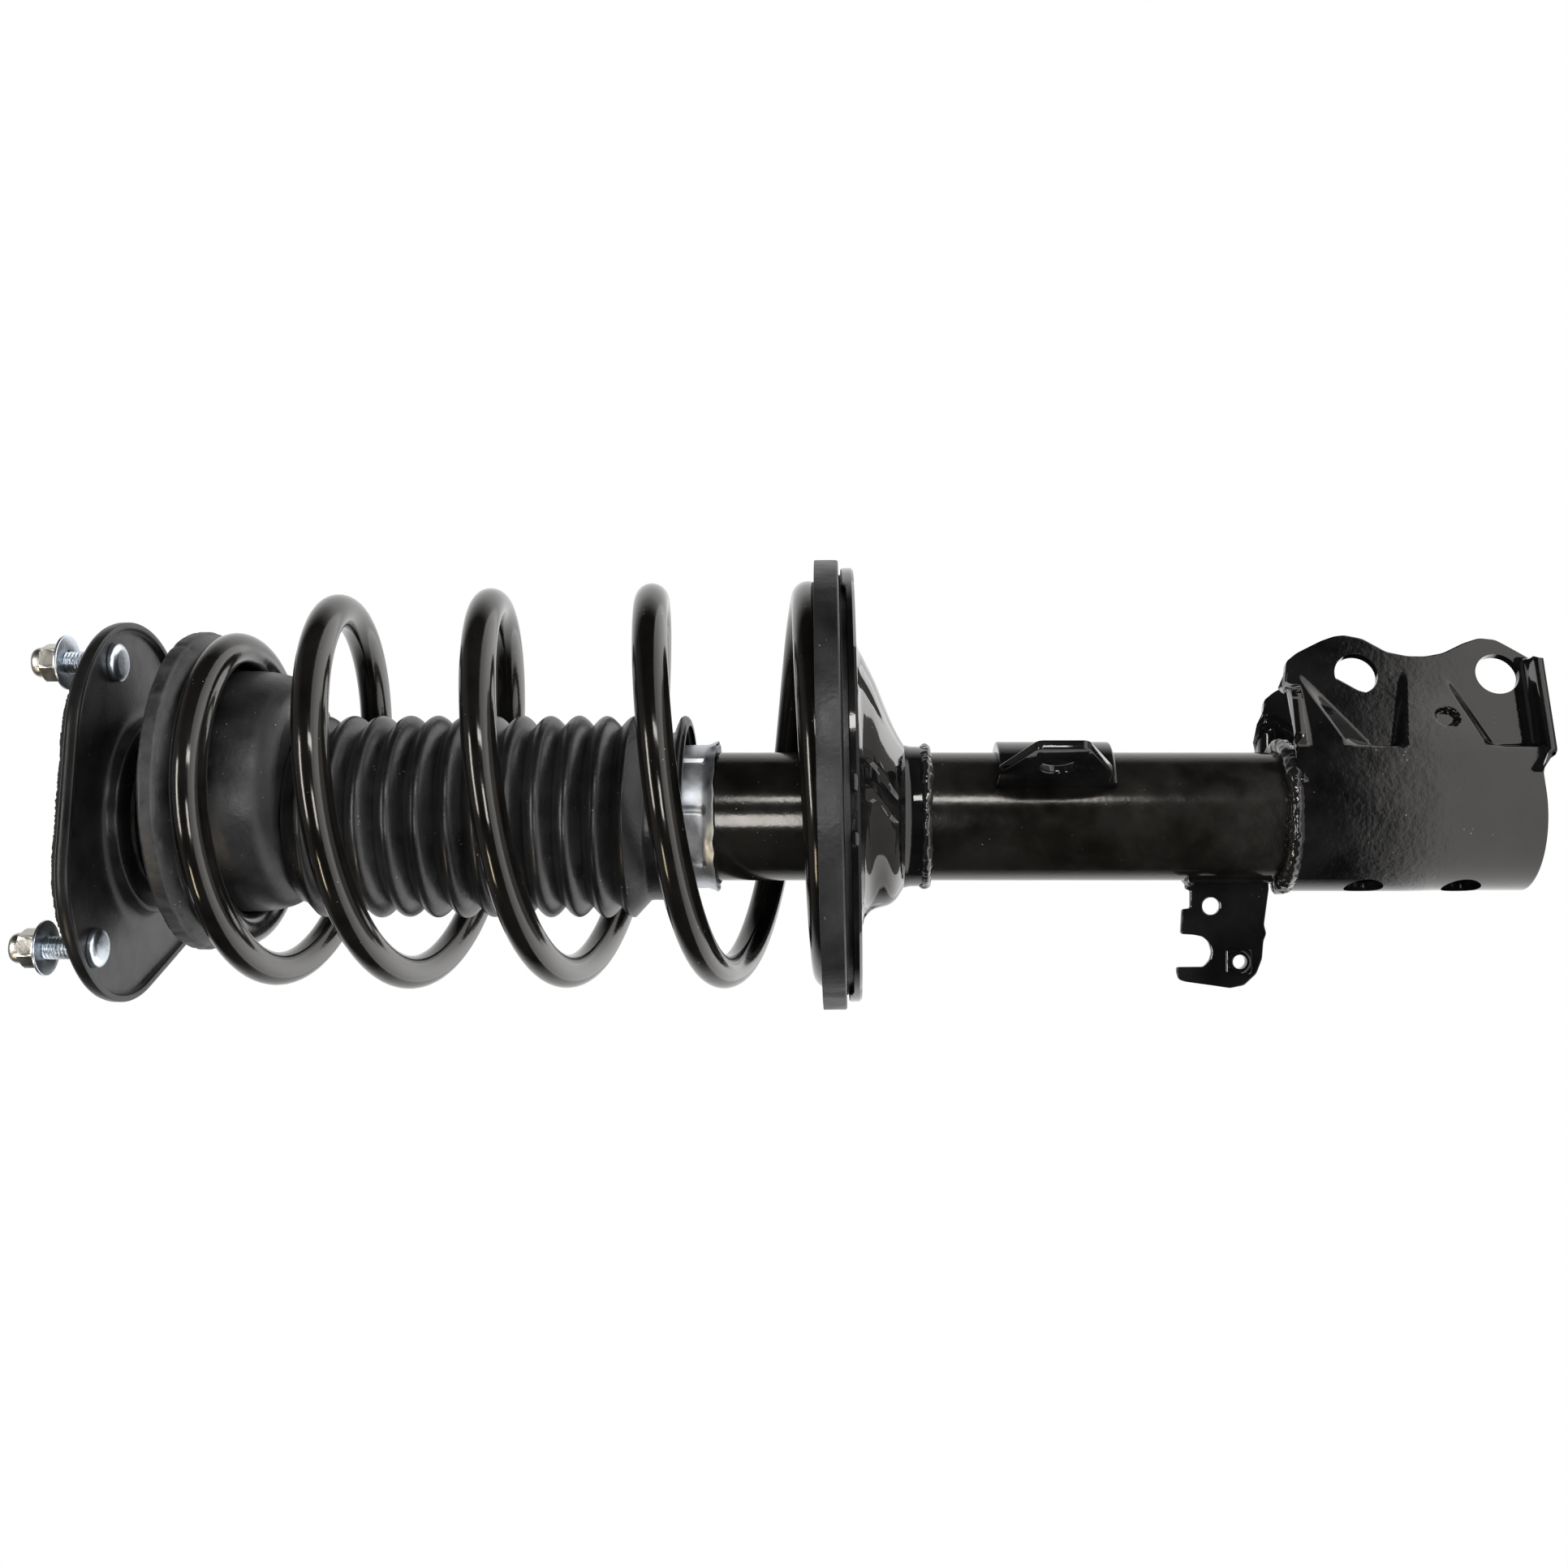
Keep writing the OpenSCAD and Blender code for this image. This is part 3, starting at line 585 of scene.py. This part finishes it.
def plate_rings(rings, steps=288, warp=None):
    """A closed surface from rings: (kind, size, height), kind "c" a circle and "t" the triangle."""
    theta = np.linspace(0, 2 * math.pi, steps, endpoint=False)[:, None]
    cols = [(s + 0 * theta if kind == "c" else triangle_radius(theta, s)) for kind, s, z in rings]
    r = np.concatenate(cols, axis=1)
    z = np.array([ring[2] for ring in rings], float)[None, :] + 0 * theta
    if warp:
        r, z = warp(theta, r, z)
    points = np.stack([r * np.cos(theta), r * np.sin(theta), z], axis=-1)
    return grid(points, True, True)


def build_mount():
    rings = [("c", 26, -7.8), ("c", 31.6, -7.8), ("c", 32.7, -7.2), ("c", 33, -6), ("c", 33, -1.6),
             ("c", 33.5, -0.6), ("c", 34.6, -0.1), ("c", 36.5, 0), ("t", 12, 0), ("t", 3.2, 0),
             ("t", 1.6, -0.15), ("t", 0.5, -0.8), ("t", 0.05, -2), ("t", 0, -4.5), ("t", 0.25, -4.95),
             ("t", 0.8, -5.1), ("t", 1.7, -5.1), ("t", 2.2, -4.9), ("t", 2.4, -4.4), ("t", 2.7, -3.5),
             ("t", 3.4, -2.8), ("t", 4.8, -2.5), ("t", 8, -2.5), ("t", 12, -2.5), ("c", 41.5, -2.55),
             ("c", 39, -2.9), ("c", 37.2, -3.7), ("c", 36, -5), ("c", 35.5, -6.4), ("c", 35.4, -8.4),
             ("c", 35.1, -9.3), ("c", 34.3, -9.95), ("c", 33, -10.2), ("c", 26.4, -10.2), ("c", 26, -9.8)]

    def uneven(theta, r, z):
        under = smoothstep(-z, 2.2, 2.5) * smoothstep(r, 36, 44)
        return r, z + 0.10 * under * wobble(theta, r, 51, turn=7, rise=0.15)

    solid("mount_pressing", [plate_rings(rings, warp=uneven)], 45, SATIN,
          "top_mount", ["mount_plate"])
    felt = [("c", 38.4, 0.05), ("t", 9, 0.05), ("t", 8.6, 0.6), ("t", 8.5, 2), ("t", 8.5, 3.4),
            ("t", 8.7, 4.6), ("t", 9.6, 5), ("t", 14, 5), ("c", 41, 5), ("c", 38.6, 4.8), ("c", 38.4, 4)]

    def fuzzy(theta, r, z):
        rng = np.random.RandomState(77)
        outer = smoothstep(r, 49, 51)
        fuzz = rng.uniform(-1, 1, r.shape) * 0.45 + 0.35 * wobble(theta, z, 52, turn=40)
        return r + outer * (fuzz - 0.2), z - 0.25 * outer * np.abs(rng.uniform(-1, 1, r.shape)) * (z > 4)

    gasket = solid("felt_gasket", [plate_rings(felt, 720, fuzzy)], 80, FELT,
                   "top_mount", ["mount_gasket"])


def thread(radius, low, high, pitch, depth, steps=48):
    """A screw thread as a closed surface."""
    rows = int((high - low) / pitch * 9)
    theta = np.linspace(0, 2 * math.pi, steps, endpoint=False)[:, None]
    z = np.linspace(low, high, rows)[None, :] + 0 * theta
    phase = (z / pitch - theta / (2 * math.pi)) % 1.0
    tooth = 1 - np.abs(2 * phase - 1)
    tooth = np.clip(tooth * 1.5 - 0.25, 0, 1)
    ends = np.clip((high - z) / 1.2, 0, 1)
    r = radius - depth + depth * tooth - 0.8 * (1 - ends) ** 2
    points = np.stack([r * np.cos(theta), r * np.sin(theta), z], axis=-1)
    return grid(points, True, False, caps=True)


def hex_nut(flat, low, high, bore, steps=120, chamfer=0.9):
    """A hexagon nut with turned chamfers, as a closed surface round its bore."""
    theta = np.linspace(0, 2 * math.pi, steps, endpoint=False)[:, None]
    hexagon = flat / np.cos((theta + math.pi / 6) % (math.pi / 3) - math.pi / 6)
    corner = flat / math.cos(math.pi / 6)
    rows = [(bore, low), (flat * 0.94, low), (corner - 0.5, low + 0.25), (corner, low + 0.6),
            (corner, high - chamfer), (corner - 0.45, high - chamfer * 0.6),
            (flat * 0.94, high - 0.12), (flat * 0.88, high), (bore, high)]
    r = np.concatenate([np.minimum(hexagon, rr) if rr > bore else rr + 0 * theta for rr, _ in rows], axis=1)
    z = np.array([zz for _, zz in rows])[None, :] + 0 * theta
    points = np.stack([r * np.cos(theta), r * np.sin(theta), z], axis=-1)
    return grid(points, True, True)


def at_stud(part, angle):
    """A part made round the axis, moved to the stud at an angle."""
    verts, faces = part
    a = math.radians(angle)
    turn = np.array([[math.cos(a), -math.sin(a), 0], [math.sin(a), math.cos(a), 0], [0, 0, 1]])
    return verts @ turn.T + STUD_CIRCLE_R * np.array([math.cos(a), math.sin(a), 0]), faces


def build_fasteners():
    head = rounded([(0.01, -5.5, 0), (5.2, -5.5, 1.6), (7, -4.4, 1.2), (7, -2.5, 0.3), (4.2, -2.5, 0.2),
                    (0.01, -2.5, 0)])
    collar = rounded([(0.01, -2.6, 0), (4.3, -2.6, 0.1), (4.3, 0.6, 0.4), (3.9, 1.4, 0.3),
                      (0.01, 1.4, 0)], 2)
    washer = rounded([(4.4, 14, 0.1), (9.7, 14, 0.35), (9.7, 15, 0.3), (9.2, 15.05, 0.3),
                      (7.4, 15.55, 0.2), (4.4, 15.55, 0.1)], 3)
    crown = rounded([(4, 22.3, 0.1), (5.5, 22.3, 0.3), (5.3, 24.4, 0.9), (4.7, 25.5, 0.3),
                     (4, 25.5, 0.1)])
    flange = rounded([(4, 15.6, 0.1), (7.3, 15.6, 0.3), (7.4, 16.3, 0.3), (6.6, 16.9, 0.3),
                      (4, 16.9, 0.1)], 3)
    studs, washers, nuts = [], [], []
    for angle in STUD_ANGLES:
        for part in (revolve(head, steps=64), revolve(collar, steps=48), thread(4.0, 1.2, 24.8, 1.25, 0.55)):
            studs.append(at_stud(part, angle))
        washers.append(at_stud(revolve(washer, steps=96), angle))
        for part in (hex_nut(6.0, 16.4, 22.5, 4.0), revolve(crown, steps=64), revolve(flange, steps=64)):
            nuts.append(at_stud(part, angle))
    solid("studs", studs, 40, ZINC, "top_mount", ["mount_studs"])
    solid("washers", washers, 40, ZINC, "top_mount", ["nut_washers"])
    solid("nuts", nuts, 40, NUT, "top_mount", ["stud_nuts"])
    rod_nut = hex_nut(9.5, 4.02, 12.1, 6.1)
    top = revolve(fillet([(6.1, 12), (8.7, 12), (8.4, 12.9), (7.7, 13.4), (6.1, 13.4)],
                         [0.1, 0.2, 0.5, 0.3, 0.1], 3), steps=72)
    solid("top_nut", [rod_nut, top], 40, NUT, "rod", ["rod_nut"])


# ---- damper ----

def build_cap():
    outer = rounded([
        (12, -195.45, 0.3), (24.2, -195.45, 1.2), (26.35, -197.2, 1.8), (26.4, -212.4, 2),
        (26.9, -214.2, 1), (27.8, -216.2, 0.2), (26.9, -216.3, 0.2), (25.3, -213.9, 0.8),
        (25.2, -196.95, 0.2), (12, -196.95, 0.2)])
    profile = dense(outer, 1.2)

    def warp(theta, r, z):
        aside = np.radians(((np.degrees(theta) - 7.5) % 45) - 22.5) * 26
        width = 0.75 + 0.5 * smoothstep(-z, 210.5, 212.5)
        groove = np.exp(-(aside / width) ** 2) * smoothstep(-z, 197.5, 200) * smoothstep(z, -213.6, -212)
        lip = smoothstep(-z, 213, 216)
        ragged = wobble(theta, 0 * z, 61, waves=9, turn=24)
        return r - 1.1 * groove * (r > 24.9) + lip * 0.12 * ragged, z + lip * 0.35 * ragged

    solid("end_cap", [revolve(profile, steps=420, warp=warp)], 35, CAP,
          "damper", ["striker_cap"])


def build_pan():
    """The pressed lower seat: flat rim, cone with pressed hollows, and a collar."""
    outer = [(23.75, -291.5), (25.7, -291.5), (25.9, -286.5), (26.4, -284.4), (28.4, -283.2), (31, -281.6),
             (36, -278.3), (42, -274.4), (46, -271.4), (50, -268.9), (54, -267.8), (60, -267.5), (68, -267.5),
             (76, -267.5), (79.4, -267.3), (80.2, -266.4), (80.2, -263.4), (79.8, -262.65), (78.4, -262.6),
             (77.8, -263.2), (77.8, -264.4), (70, -264.5), (60, -264.5), (50, -264.6), (47, -266.4),
             (42, -269.8), (34, -275.6), (28, -279.8), (24.4, -281), (23.75, -282)]
    profile = dense(np.array(outer, float), 2.0)
    steps = 360
    theta = np.linspace(0, 2 * math.pi, steps, endpoint=False)[:, None]
    r, z = profile[None, :, 0] + 0 * theta, profile[None, :, 1] + 0 * theta
    degrees = np.degrees(theta)

    def pocket(angle, middle, half_angle, half_r, depth):
        swing = np.abs((degrees - angle + 180) % 360 - 180)
        along = (r - middle) / half_r
        taper = 0.45 + 0.55 * np.clip((along + 1) / 2, 0, 1)
        inside = (1 - smoothstep(swing / (half_angle * taper), 0.7, 1.05)) * (
            1 - smoothstep(np.abs(along), 0.75, 1.0))
        return depth * inside

    dent = np.zeros_like(r)
    for angle in (296, 56, 176):
        dent += pocket(angle, 47, 5.0, 7.5, 1.6)
    for angle in (262, 246, 22, 6, 142, 126):
        dent -= pocket(angle, 40, 3.2, 9.0, 1.5)
    cone = smoothstep(r, 28.5, 33) * smoothstep(-r, -66, -58)
    z = z + dent * cone
    away = np.minimum(np.abs((degrees + 20 + 180) % 360 - 180), np.abs((degrees - 150 + 180) % 360 - 180))
    keep_lip = 1 - smoothstep(away, 29, 33)
    low_lip = np.minimum(z, -264.45)
    z = np.where(r > 77.0, z * keep_lip + low_lip * (1 - keep_lip), z)
    rim = smoothstep(r, 76, 79)
    nick = sum(np.exp(-(((degrees - a + 180) % 360 - 180) / 7.0) ** 6) for a in (243, 96))
    r = r - rim * 2.4 * nick - rim * 0.1 * (1 + wobble(theta, z, 71, turn=9))
    points = np.stack([r * np.cos(theta), r * np.sin(theta), z], axis=-1).reshape(-1, 3)
    share = smoothstep(np.hypot(points[:, 0], points[:, 1]), 29, 50)[:, None]
    placed = share * tilted(points) + (1 - share) * points
    verts, faces = grid(placed.reshape(steps, len(profile), 3), True, True)
    obj = solid("spring_pan", [(verts, faces)], 45, GLOSS, "damper", ["lower_spring_seat"])
    drain_circle, drain_z, drain_r = 66, -266.0, 3.0
    holes = []
    for degrees in (60, 180, 300):
        a = math.radians(degrees)
        middle = np.array([[drain_circle * math.cos(a), drain_circle * math.sin(a), drain_z]])
        holes.append((tilted(middle)[0], (0, 0, 1), drain_r, 14))
    cut_holes(obj, holes)


# ---- knuckle bracket ----

# Outline of the ear's tip: depth below the origin, and reach along X
TIP_Z = [424, 426, 430, 439.5, 444.5, 448.5, 455, 463.5, 471.2, 477.6, 484.2, 492.3, 498.5, 504.5, 509, 516.6]
TIP_X = [42, 54.0, 57.4, 62.4, 64.3, 64.8, 63.4, 57.9, 56.2, 56.1, 57.4, 61.5, 63.6, 62.9, 60, 54.9]
SHEET, BEND_R, FLANGE_REACH = 3.4, 3.0, 10.3
EAR_Y, EAR_ROOT, WRAP_R = 19.2, 22.5, 27.6
BOLT_X, BOLT_Z, BOLT_R = 49, (-451.4, -503.4), 8.0
DRAIN_X, DRAIN_Z, DRAIN_R = -27, (-451.5, -487), 7.0


def bracket_stamp(x, y, z):
    """The pressed height of the ear's face: flat pads round the bolt holes, raised gussets between them."""
    gusset = -27.55 + 8.35 * smoothstep(x, 12.0, 50.0)
    widen = np.clip((48 - x) / 28, 0, 1)
    right = -463.2 - 4.5 * (x - 21) / 22.2
    left = -483.5 - 15.0 * (48.3 - x) / 30.2
    centre = smoothstep(right - z, -1.4, 1.4) * np.clip((z - left + 1) / (1.5 + 5 * widen), 0, 1)
    corner = -436.3 - (42 - x) * 0.80
    upper = np.clip((z - corner) / (1.2 + 10.5 * widen), 0, 1)
    lower = 0.3 * smoothstep(-511.5 - z, -2, 2)
    share = np.maximum(np.maximum(centre, upper), lower) * smoothstep(x, 12.0, 16.0)
    around = np.hypot(x - 29.9, z + 481.1)
    dimple = 2.0 * (1 - smoothstep(around, 3.4, 4.3)) * (x > 20)
    return np.where(x > 8, np.minimum(y, y + (gusset - y) * share) + dimple, y)


def ear_edge():
    """Depth below the origin against the ear's reach along X, softened except at its two corners."""
    depth = np.arange(424.0, 516.7, 0.2)
    reach = np.interp(depth, TIP_Z, TIP_X)
    kernel = np.hanning(25)
    soft = np.convolve(np.pad(reach, 12, mode="edge"), kernel / kernel.sum(), mode="valid")
    return depth, np.where((depth > 429) & (depth < 514), soft, reach)


def wrap_line():
    """Half of the wrap in plan, from the ear's root round to the middle of the back."""
    ramp_line = fillet([(EAR_ROOT, -EAR_Y), (20.6, -EAR_Y), (17.0, -27.2), (14.5, -27.55), (8, -WRAP_R)],
                       [0, 1.2, 2.2, 1.0, 0], 5, False)
    join = np.linspace(8, 0, 6)[1:-1]
    join = np.stack([join, 0 * join - WRAP_R], axis=1)
    back = np.radians(np.arange(-90, -181, -3.0))
    return np.concatenate([ramp_line, join, WRAP_R * np.stack([np.cos(back), np.sin(back)], axis=1)])


def flange_offset(v):
    """How far out and how far along a flange goes at v: 0 is at its root and 1 at its free edge."""
    along = v * (FLANGE_REACH + BEND_R * (math.pi / 2 - 1))
    quarter = BEND_R * math.pi / 2
    if along < quarter:
        return BEND_R * (1 - math.cos(along / BEND_R)), BEND_R * math.sin(along / BEND_R)
    return BEND_R + along - quarter, BEND_R


def bracket_row(kind, v, edge, wrap):
    """One row of the bracket's near half, from the ear's tip round to the middle of the back."""
    top, ear_low, wrap_low = -424.0, -516.6, -511.3
    inset = SHEET + BEND_R
    z_start, z_stop = top - inset, ear_low + inset
    line_z = {"top": top - inset * (1 - v), "mid": z_start + (z_stop - z_start) * v,
              "low": ear_low + inset * (1 - v)}[kind]
    x_ear = np.linspace(float(np.interp(-line_z, *edge)), EAR_ROOT, 66)[:-1]
    line = np.concatenate([np.stack([x_ear, -EAR_Y + 0 * x_ear], axis=1), wrap])
    x, y = line[:, 0], line[:, 1]
    wrap_share = 1 - smoothstep(x, 6.0, 19.0)
    low_edge = ear_low * (1 - wrap_share) + wrap_low * wrap_share
    z = top + (line_z - top) * (low_edge - top) / (ear_low - top)
    y = bracket_stamp(x, y, np.clip(z, z_stop + 1.5, z_start))
    if kind != "mid":
        outward, rise = flange_offset(v)
        if kind == "top":
            has = smoothstep(x, 16, 21) * (1 - smoothstep(x, 39, 45))
            bent_z = z_start + rise
        else:
            has = smoothstep(x, 7, 15) * (1 - smoothstep(x, 51, 56))
            bent_z = z_stop - rise
        room = np.clip((29.5 + y) / FLANGE_REACH, 0, 1)
        y = y - has * outward * room
        z = z * (1 - has) + bent_z * has
    return np.stack([x, y, z], axis=1)


def build_knuckle():
    edge, wrap = ear_edge(), wrap_line()
    flange_rows = np.linspace(1, 0, 11)[:-1]
    rows = [("top", v) for v in flange_rows]
    rows += [("mid", v) for v in np.linspace(0, 1, 150)]
    rows += [("low", v) for v in flange_rows[::-1]]
    near = np.array([bracket_row(kind, v, edge, wrap) for kind, v in rows])
    far_side = near[:, ::-1] * (1, -1, 1)
    points = np.concatenate([near, far_side[:, 1:]], axis=1)
    verts, faces = grid(points, False, False)
    mesh = smooth_mesh("bracket_sheet", verts, faces, 180)
    obj = piece("bracket_pressing", mesh, GLOSS, "damper", ["knuckle_bracket"])
    inward = sum(polygon.normal.x * polygon.area for polygon in mesh.polygons if polygon.center.x < -0.02)
    if inward > 0:
        mesh.flip_normals()
    thick = obj.modifiers.new("thick", "SOLIDIFY")
    thick.thickness, thick.offset = SHEET * MM, -1.0
    soft = obj.modifiers.new("edges", "BEVEL")
    soft.width, soft.segments, soft.limit_method = 0.55 * MM, 2, "ANGLE"
    soft.angle_limit = math.radians(60)
    bpy.context.view_layer.update()
    made = bpy.data.meshes.new_from_object(obj.evaluated_get(bpy.context.evaluated_depsgraph_get()))
    obj.modifiers.clear()
    obj.data = made
    holes = [((BOLT_X, 0, z), (0, 1, 0), BOLT_R, 100) for z in BOLT_Z]
    holes += [((DRAIN_X, 0, z), (1, 0, 0), DRAIN_R, 16) for z in DRAIN_Z]
    cut_holes(obj, holes)


def build_welds():
    ring = bead(arc(25.6, -423.4, -215, 35, 260), 3.0, 81, ripple=5.5, rough=0.09)
    drip = bead([(5 - 1.5 * t, -26.4 - 0.8 * t, -423.5 - 4.5 * t) for t in np.linspace(0, 1, 30)],
                1.7, 84, rough=0.12)
    solid("bracket_bead", [ring, drip], 60, WELD, "damper",
          ["bracket_weld"])
    collar = bead(arc(24.7, -292.1, 0, 358.5, 260), 2.0, 85, wrap=True)
    solid("seat_bead", [collar], 60, WELD, "damper", ["seat_weld"])


# ---- link and hose brackets ----

def build_link_bracket():
    link_hole = (0, -42.7, 6.1)
    profile = dense(fillet([(23.7, -359.7), (27.6, -359.7), (27.6, -318.3), (23.7, -318.3)],
                           [0.2, 0.7, 0.7, 0.2], 3), 3)
    saddle = part_turn(profile, -84.5, 8, 60)
    outline = fillet([(-20, -24.2), (20, -24.2), (20, -36.5), (8.8, -59.7), (-8.8, -59.7), (-20, -36.5)],
                     [0, 0, 1.6, 2.2, 2.2, 1.6], 4)
    place = [[0, 0, 1, 4.2], [0, 1, 0, 0], [-1, 0, 0, -336.8], [0, 0, 0, 1]]
    tab = sheet_mesh("tab", [tuple(p) for p in outline], [link_hole], 3.2, 0.55, place)
    solid("link_tab", [saddle, tab], 40, GLOSS, "damper",
          ["link_bracket"])
    path = [(7.2 + 0.5 * math.sin(t * 14), -26.9, -322.5 - 28 * t) for t in np.linspace(0, 1, 90)]
    solid("link_bead", [bead(path, 2.1, 91, rough=0.35)], 60, WELD, "damper")


# Outline of the hose bracket, and its holes: distance from the axis, and height
HOSE_THREAD, HOSE_THREAD_R = (53.5, -408.1), 2.6
HOSE_HOLE, HOSE_HOLE_R = (33.1, -397.9), 3.2
HOSE = [(22.9, -388.4), (26.9, -388.4), (27.3, -390.2), (33.9, -390.2), (34.2, -387.2),
        (43.4, -386.7), (43.7, -391.6), (44.4, -394.9), (46.4, -397.1), (50.1, -398.2), (53.2, -397.4),
        (55.5, -395.2), (55.6, -385.3), (57.5, -385.2), (60.2, -386), (61, -388.2), (62.5, -399),
        (63.4, -405), (62.4, -410.1), (58.1, -414.7), (52.5, -416.8), (46, -417.3), (43.2, -418.4),
        (40, -417.5), (26.6, -419.3), (22.9, -419)]


def build_hose_bracket():
    a = math.radians(160)
    place = [[math.cos(a), 0, math.sin(a), 0], [math.sin(a), 0, -math.cos(a), 0], [0, 1, 0, 0], [0, 0, 0, 1]]
    turn = np.array(place)[:3, :3]
    thread_x, thread_z = HOSE_THREAD
    raised_by = 1.3
    outline = fillet(HOSE, 0.9, 3)
    holes = [(*HOSE_HOLE, HOSE_HOLE_R), (*HOSE_THREAD, HOSE_THREAD_R)]
    tab = sheet_mesh("hose", [tuple(p) for p in outline], holes, 2.5, 0.45, place)
    boss = rounded([(HOSE_THREAD_R, -3.25, 0.1), (4.0, -3.25, 0.5), (4.4, -2.7, 0.5), (4.6, 0.2, 0.2),
                    (HOSE_THREAD_R, 0.2, 0.1)], 3)
    boss_verts, boss_faces = revolve(boss, HOSE_THREAD, steps=64)
    half = 4.7
    square = fillet([(thread_x - half, thread_z - half), (thread_x + half, thread_z - half),
                     (thread_x + half, thread_z + half), (thread_x - half, thread_z + half)], 1.4, 4)
    pad_verts, pad_faces = sheet_mesh("emboss", [tuple(p) for p in square], holes[1:], 1.5, 0.4, place)
    foot_profile = dense(fillet([(23.7, -419), (25.2, -419), (25.2, -388.4), (23.7, -388.4)],
                                [0.1, 0.5, 0.5, 0.1], 2), 3)
    parts = [tab, part_turn(foot_profile, 142, 178, 28), (boss_verts @ turn.T, boss_faces),
             (pad_verts - raised_by * turn[:, 2], pad_faces)]
    solid("hose_tab", parts, 12, GLOSS, "damper", ["hose_bracket"])
    path = arc(24.6, -389.5, 144, 176, 40)
    solid("hose_bead", [bead(path, 1.4, 95, rough=0.3)], 60, WELD, "damper")


# ---- CAD nodes that keep their own mesh ----

KEPT = {"mount_core": STEEL, "bearing_outer_race": STEEL, "bearing_balls": CHROME, "bearing_cage": PLASTIC,
        "piston_rod": CHROME, "rod_washer": ZINC, "bearing_inner_race": STEEL, "bearing_spacer": STEEL,
        "upper_spring_seat": SATIN, "piston": ALLOY, "piston_band": PLASTIC, "piston_nut": NUT,
        "outer_tube": TUBE, "tube_base": TUBE, "rod_guide": ALLOY, "inner_tube": STEEL, "base_valve": ALLOY}


def paint_kept_nodes():
    for name, material in KEPT.items():
        for holder in NODES[name].material_slots:
            holder.material = material


# ---- stage ----

VIEW_ANGLE = math.radians(20)
TOWARDS = Vector((-math.sin(VIEW_ANGLE), -math.cos(VIEW_ANGLE), 0))
UP = Vector((math.cos(VIEW_ANGLE), -math.sin(VIEW_ANGLE), 0))
RIGHT = Vector((0, 0, -1))
AIM = Vector((0, 0, -0.2655))
CAMERA_AWAY = 0.615
FLOOR_R, FLOOR_Z = 600, -900


def build_camera():
    data = bpy.data.cameras.new("camera")
    data.lens, data.sensor_width = 38.2, 36
    data.shift_x, data.shift_y = -0.0435, 0.0207
    cam = bpy.data.objects.new("camera", data)
    scene.collection.objects.link(cam)
    turn = Matrix((RIGHT, UP, TOWARDS)).transposed().to_4x4()
    cam.matrix_world = Matrix.Translation(AIM + TOWARDS * CAMERA_AWAY) @ turn
    scene.camera = cam


def area_light(name, offset, size, power, colour=(1, 1, 1)):
    """A rectangular light at (right, up, towards) metres from the aim point, facing it."""
    data = bpy.data.lights.new(name, "AREA")
    data.shape, data.energy, data.color = "RECTANGLE", power, colour
    data.size, data.size_y = size
    light = bpy.data.objects.new(name, data)
    scene.collection.objects.link(light)
    place = AIM + RIGHT * offset[0] + UP * offset[1] + TOWARDS * offset[2]
    back = (place - AIM).normalized()
    along = (RIGHT - back * RIGHT.dot(back)).normalized()
    across = back.cross(along)
    light.matrix_world = Matrix.Translation(place) @ Matrix((along, across, back)).transposed().to_4x4()


def build_world():
    """White for the camera, and soft grey patches by direction for light and reflections."""
    world = bpy.data.worlds.new("studio")
    scene.world = world
    world.use_nodes = True
    tree = world.node_tree
    tree.nodes.clear()
    direction = add_node(tree, "ShaderNodeTexCoord").outputs["Generated"]

    def along(axis):
        return add_node(tree, "ShaderNodeVectorMath", {0: direction, 1: tuple(axis)},
                        operation="DOT_PRODUCT").outputs["Value"]

    behind = ramp(tree, along(TOWARDS), -0.35, -0.7, 0.0, 1.0)
    right = combine(tree, "ADD", ramp(tree, along(RIGHT), 0.29, 0.33, 0.0, 1.7),
                    ramp(tree, along(RIGHT), 0.45, 0.85, 0.0, 1.6))
    left = ramp(tree, along(RIGHT), -0.6, -0.85, 0.0, 0.22)
    level = combine(tree, "MAXIMUM", combine(tree, "MAXIMUM", behind, right), left)
    level = combine(tree, "MAXIMUM", level, 0.02)
    grey = add_node(tree, "ShaderNodeCombineColor", {"Red": level, "Green": level, "Blue": level})
    lit = add_node(tree, "ShaderNodeBackground", {"Color": grey.outputs[0], "Strength": 1.0})
    white = add_node(tree, "ShaderNodeBackground", {"Color": (1, 1, 1, 1), "Strength": 1.0})
    rays = add_node(tree, "ShaderNodeLightPath")
    both = add_node(tree, "ShaderNodeMixShader", {0: rays.outputs["Is Camera Ray"],
                                                  1: lit.outputs[0], 2: white.outputs[0]})
    out = add_node(tree, "ShaderNodeOutputWorld")
    tree.links.new(both.outputs[0], out.inputs["Surface"])


def build_stage():
    """The floor far below and four lights, none of them part of the strut."""
    rim = arc(FLOOR_R, FLOOR_Z, 0, 360, 97)[:-1]
    mesh = smooth_mesh("floor", rim, [tuple(range(len(rim)))])
    floor = bpy.data.objects.new("floor", mesh)
    scene.collection.objects.link(floor)
    mesh.materials.append(FLOOR)
    area_light("key", (0.06, 0.52, 0.9), (0.34, 0.14), 2.2)
    area_light("side", (-1.05, 0.05, 0.75), (0.2, 0.75), 6.5, (1.0, 0.97, 0.93))
    area_light("warm", (-0.75, -0.75, 0.6), (0.12, 0.35), 2.0, (1.0, 0.86, 0.62))
    area_light("low", (-0.10, -0.12, 0.95), (0.15, 0.32), 2.2)
    scene.view_settings.view_transform = "Standard"


build_spring()
build_boot()
build_upper_insulator()
build_lower_insulator()
build_soft_parts()
build_mount()
build_fasteners()
build_cap()
build_pan()
build_knuckle()
build_welds()
build_link_bracket()
build_hose_bracket()
paint_kept_nodes()
build_camera()
build_world()
build_stage()
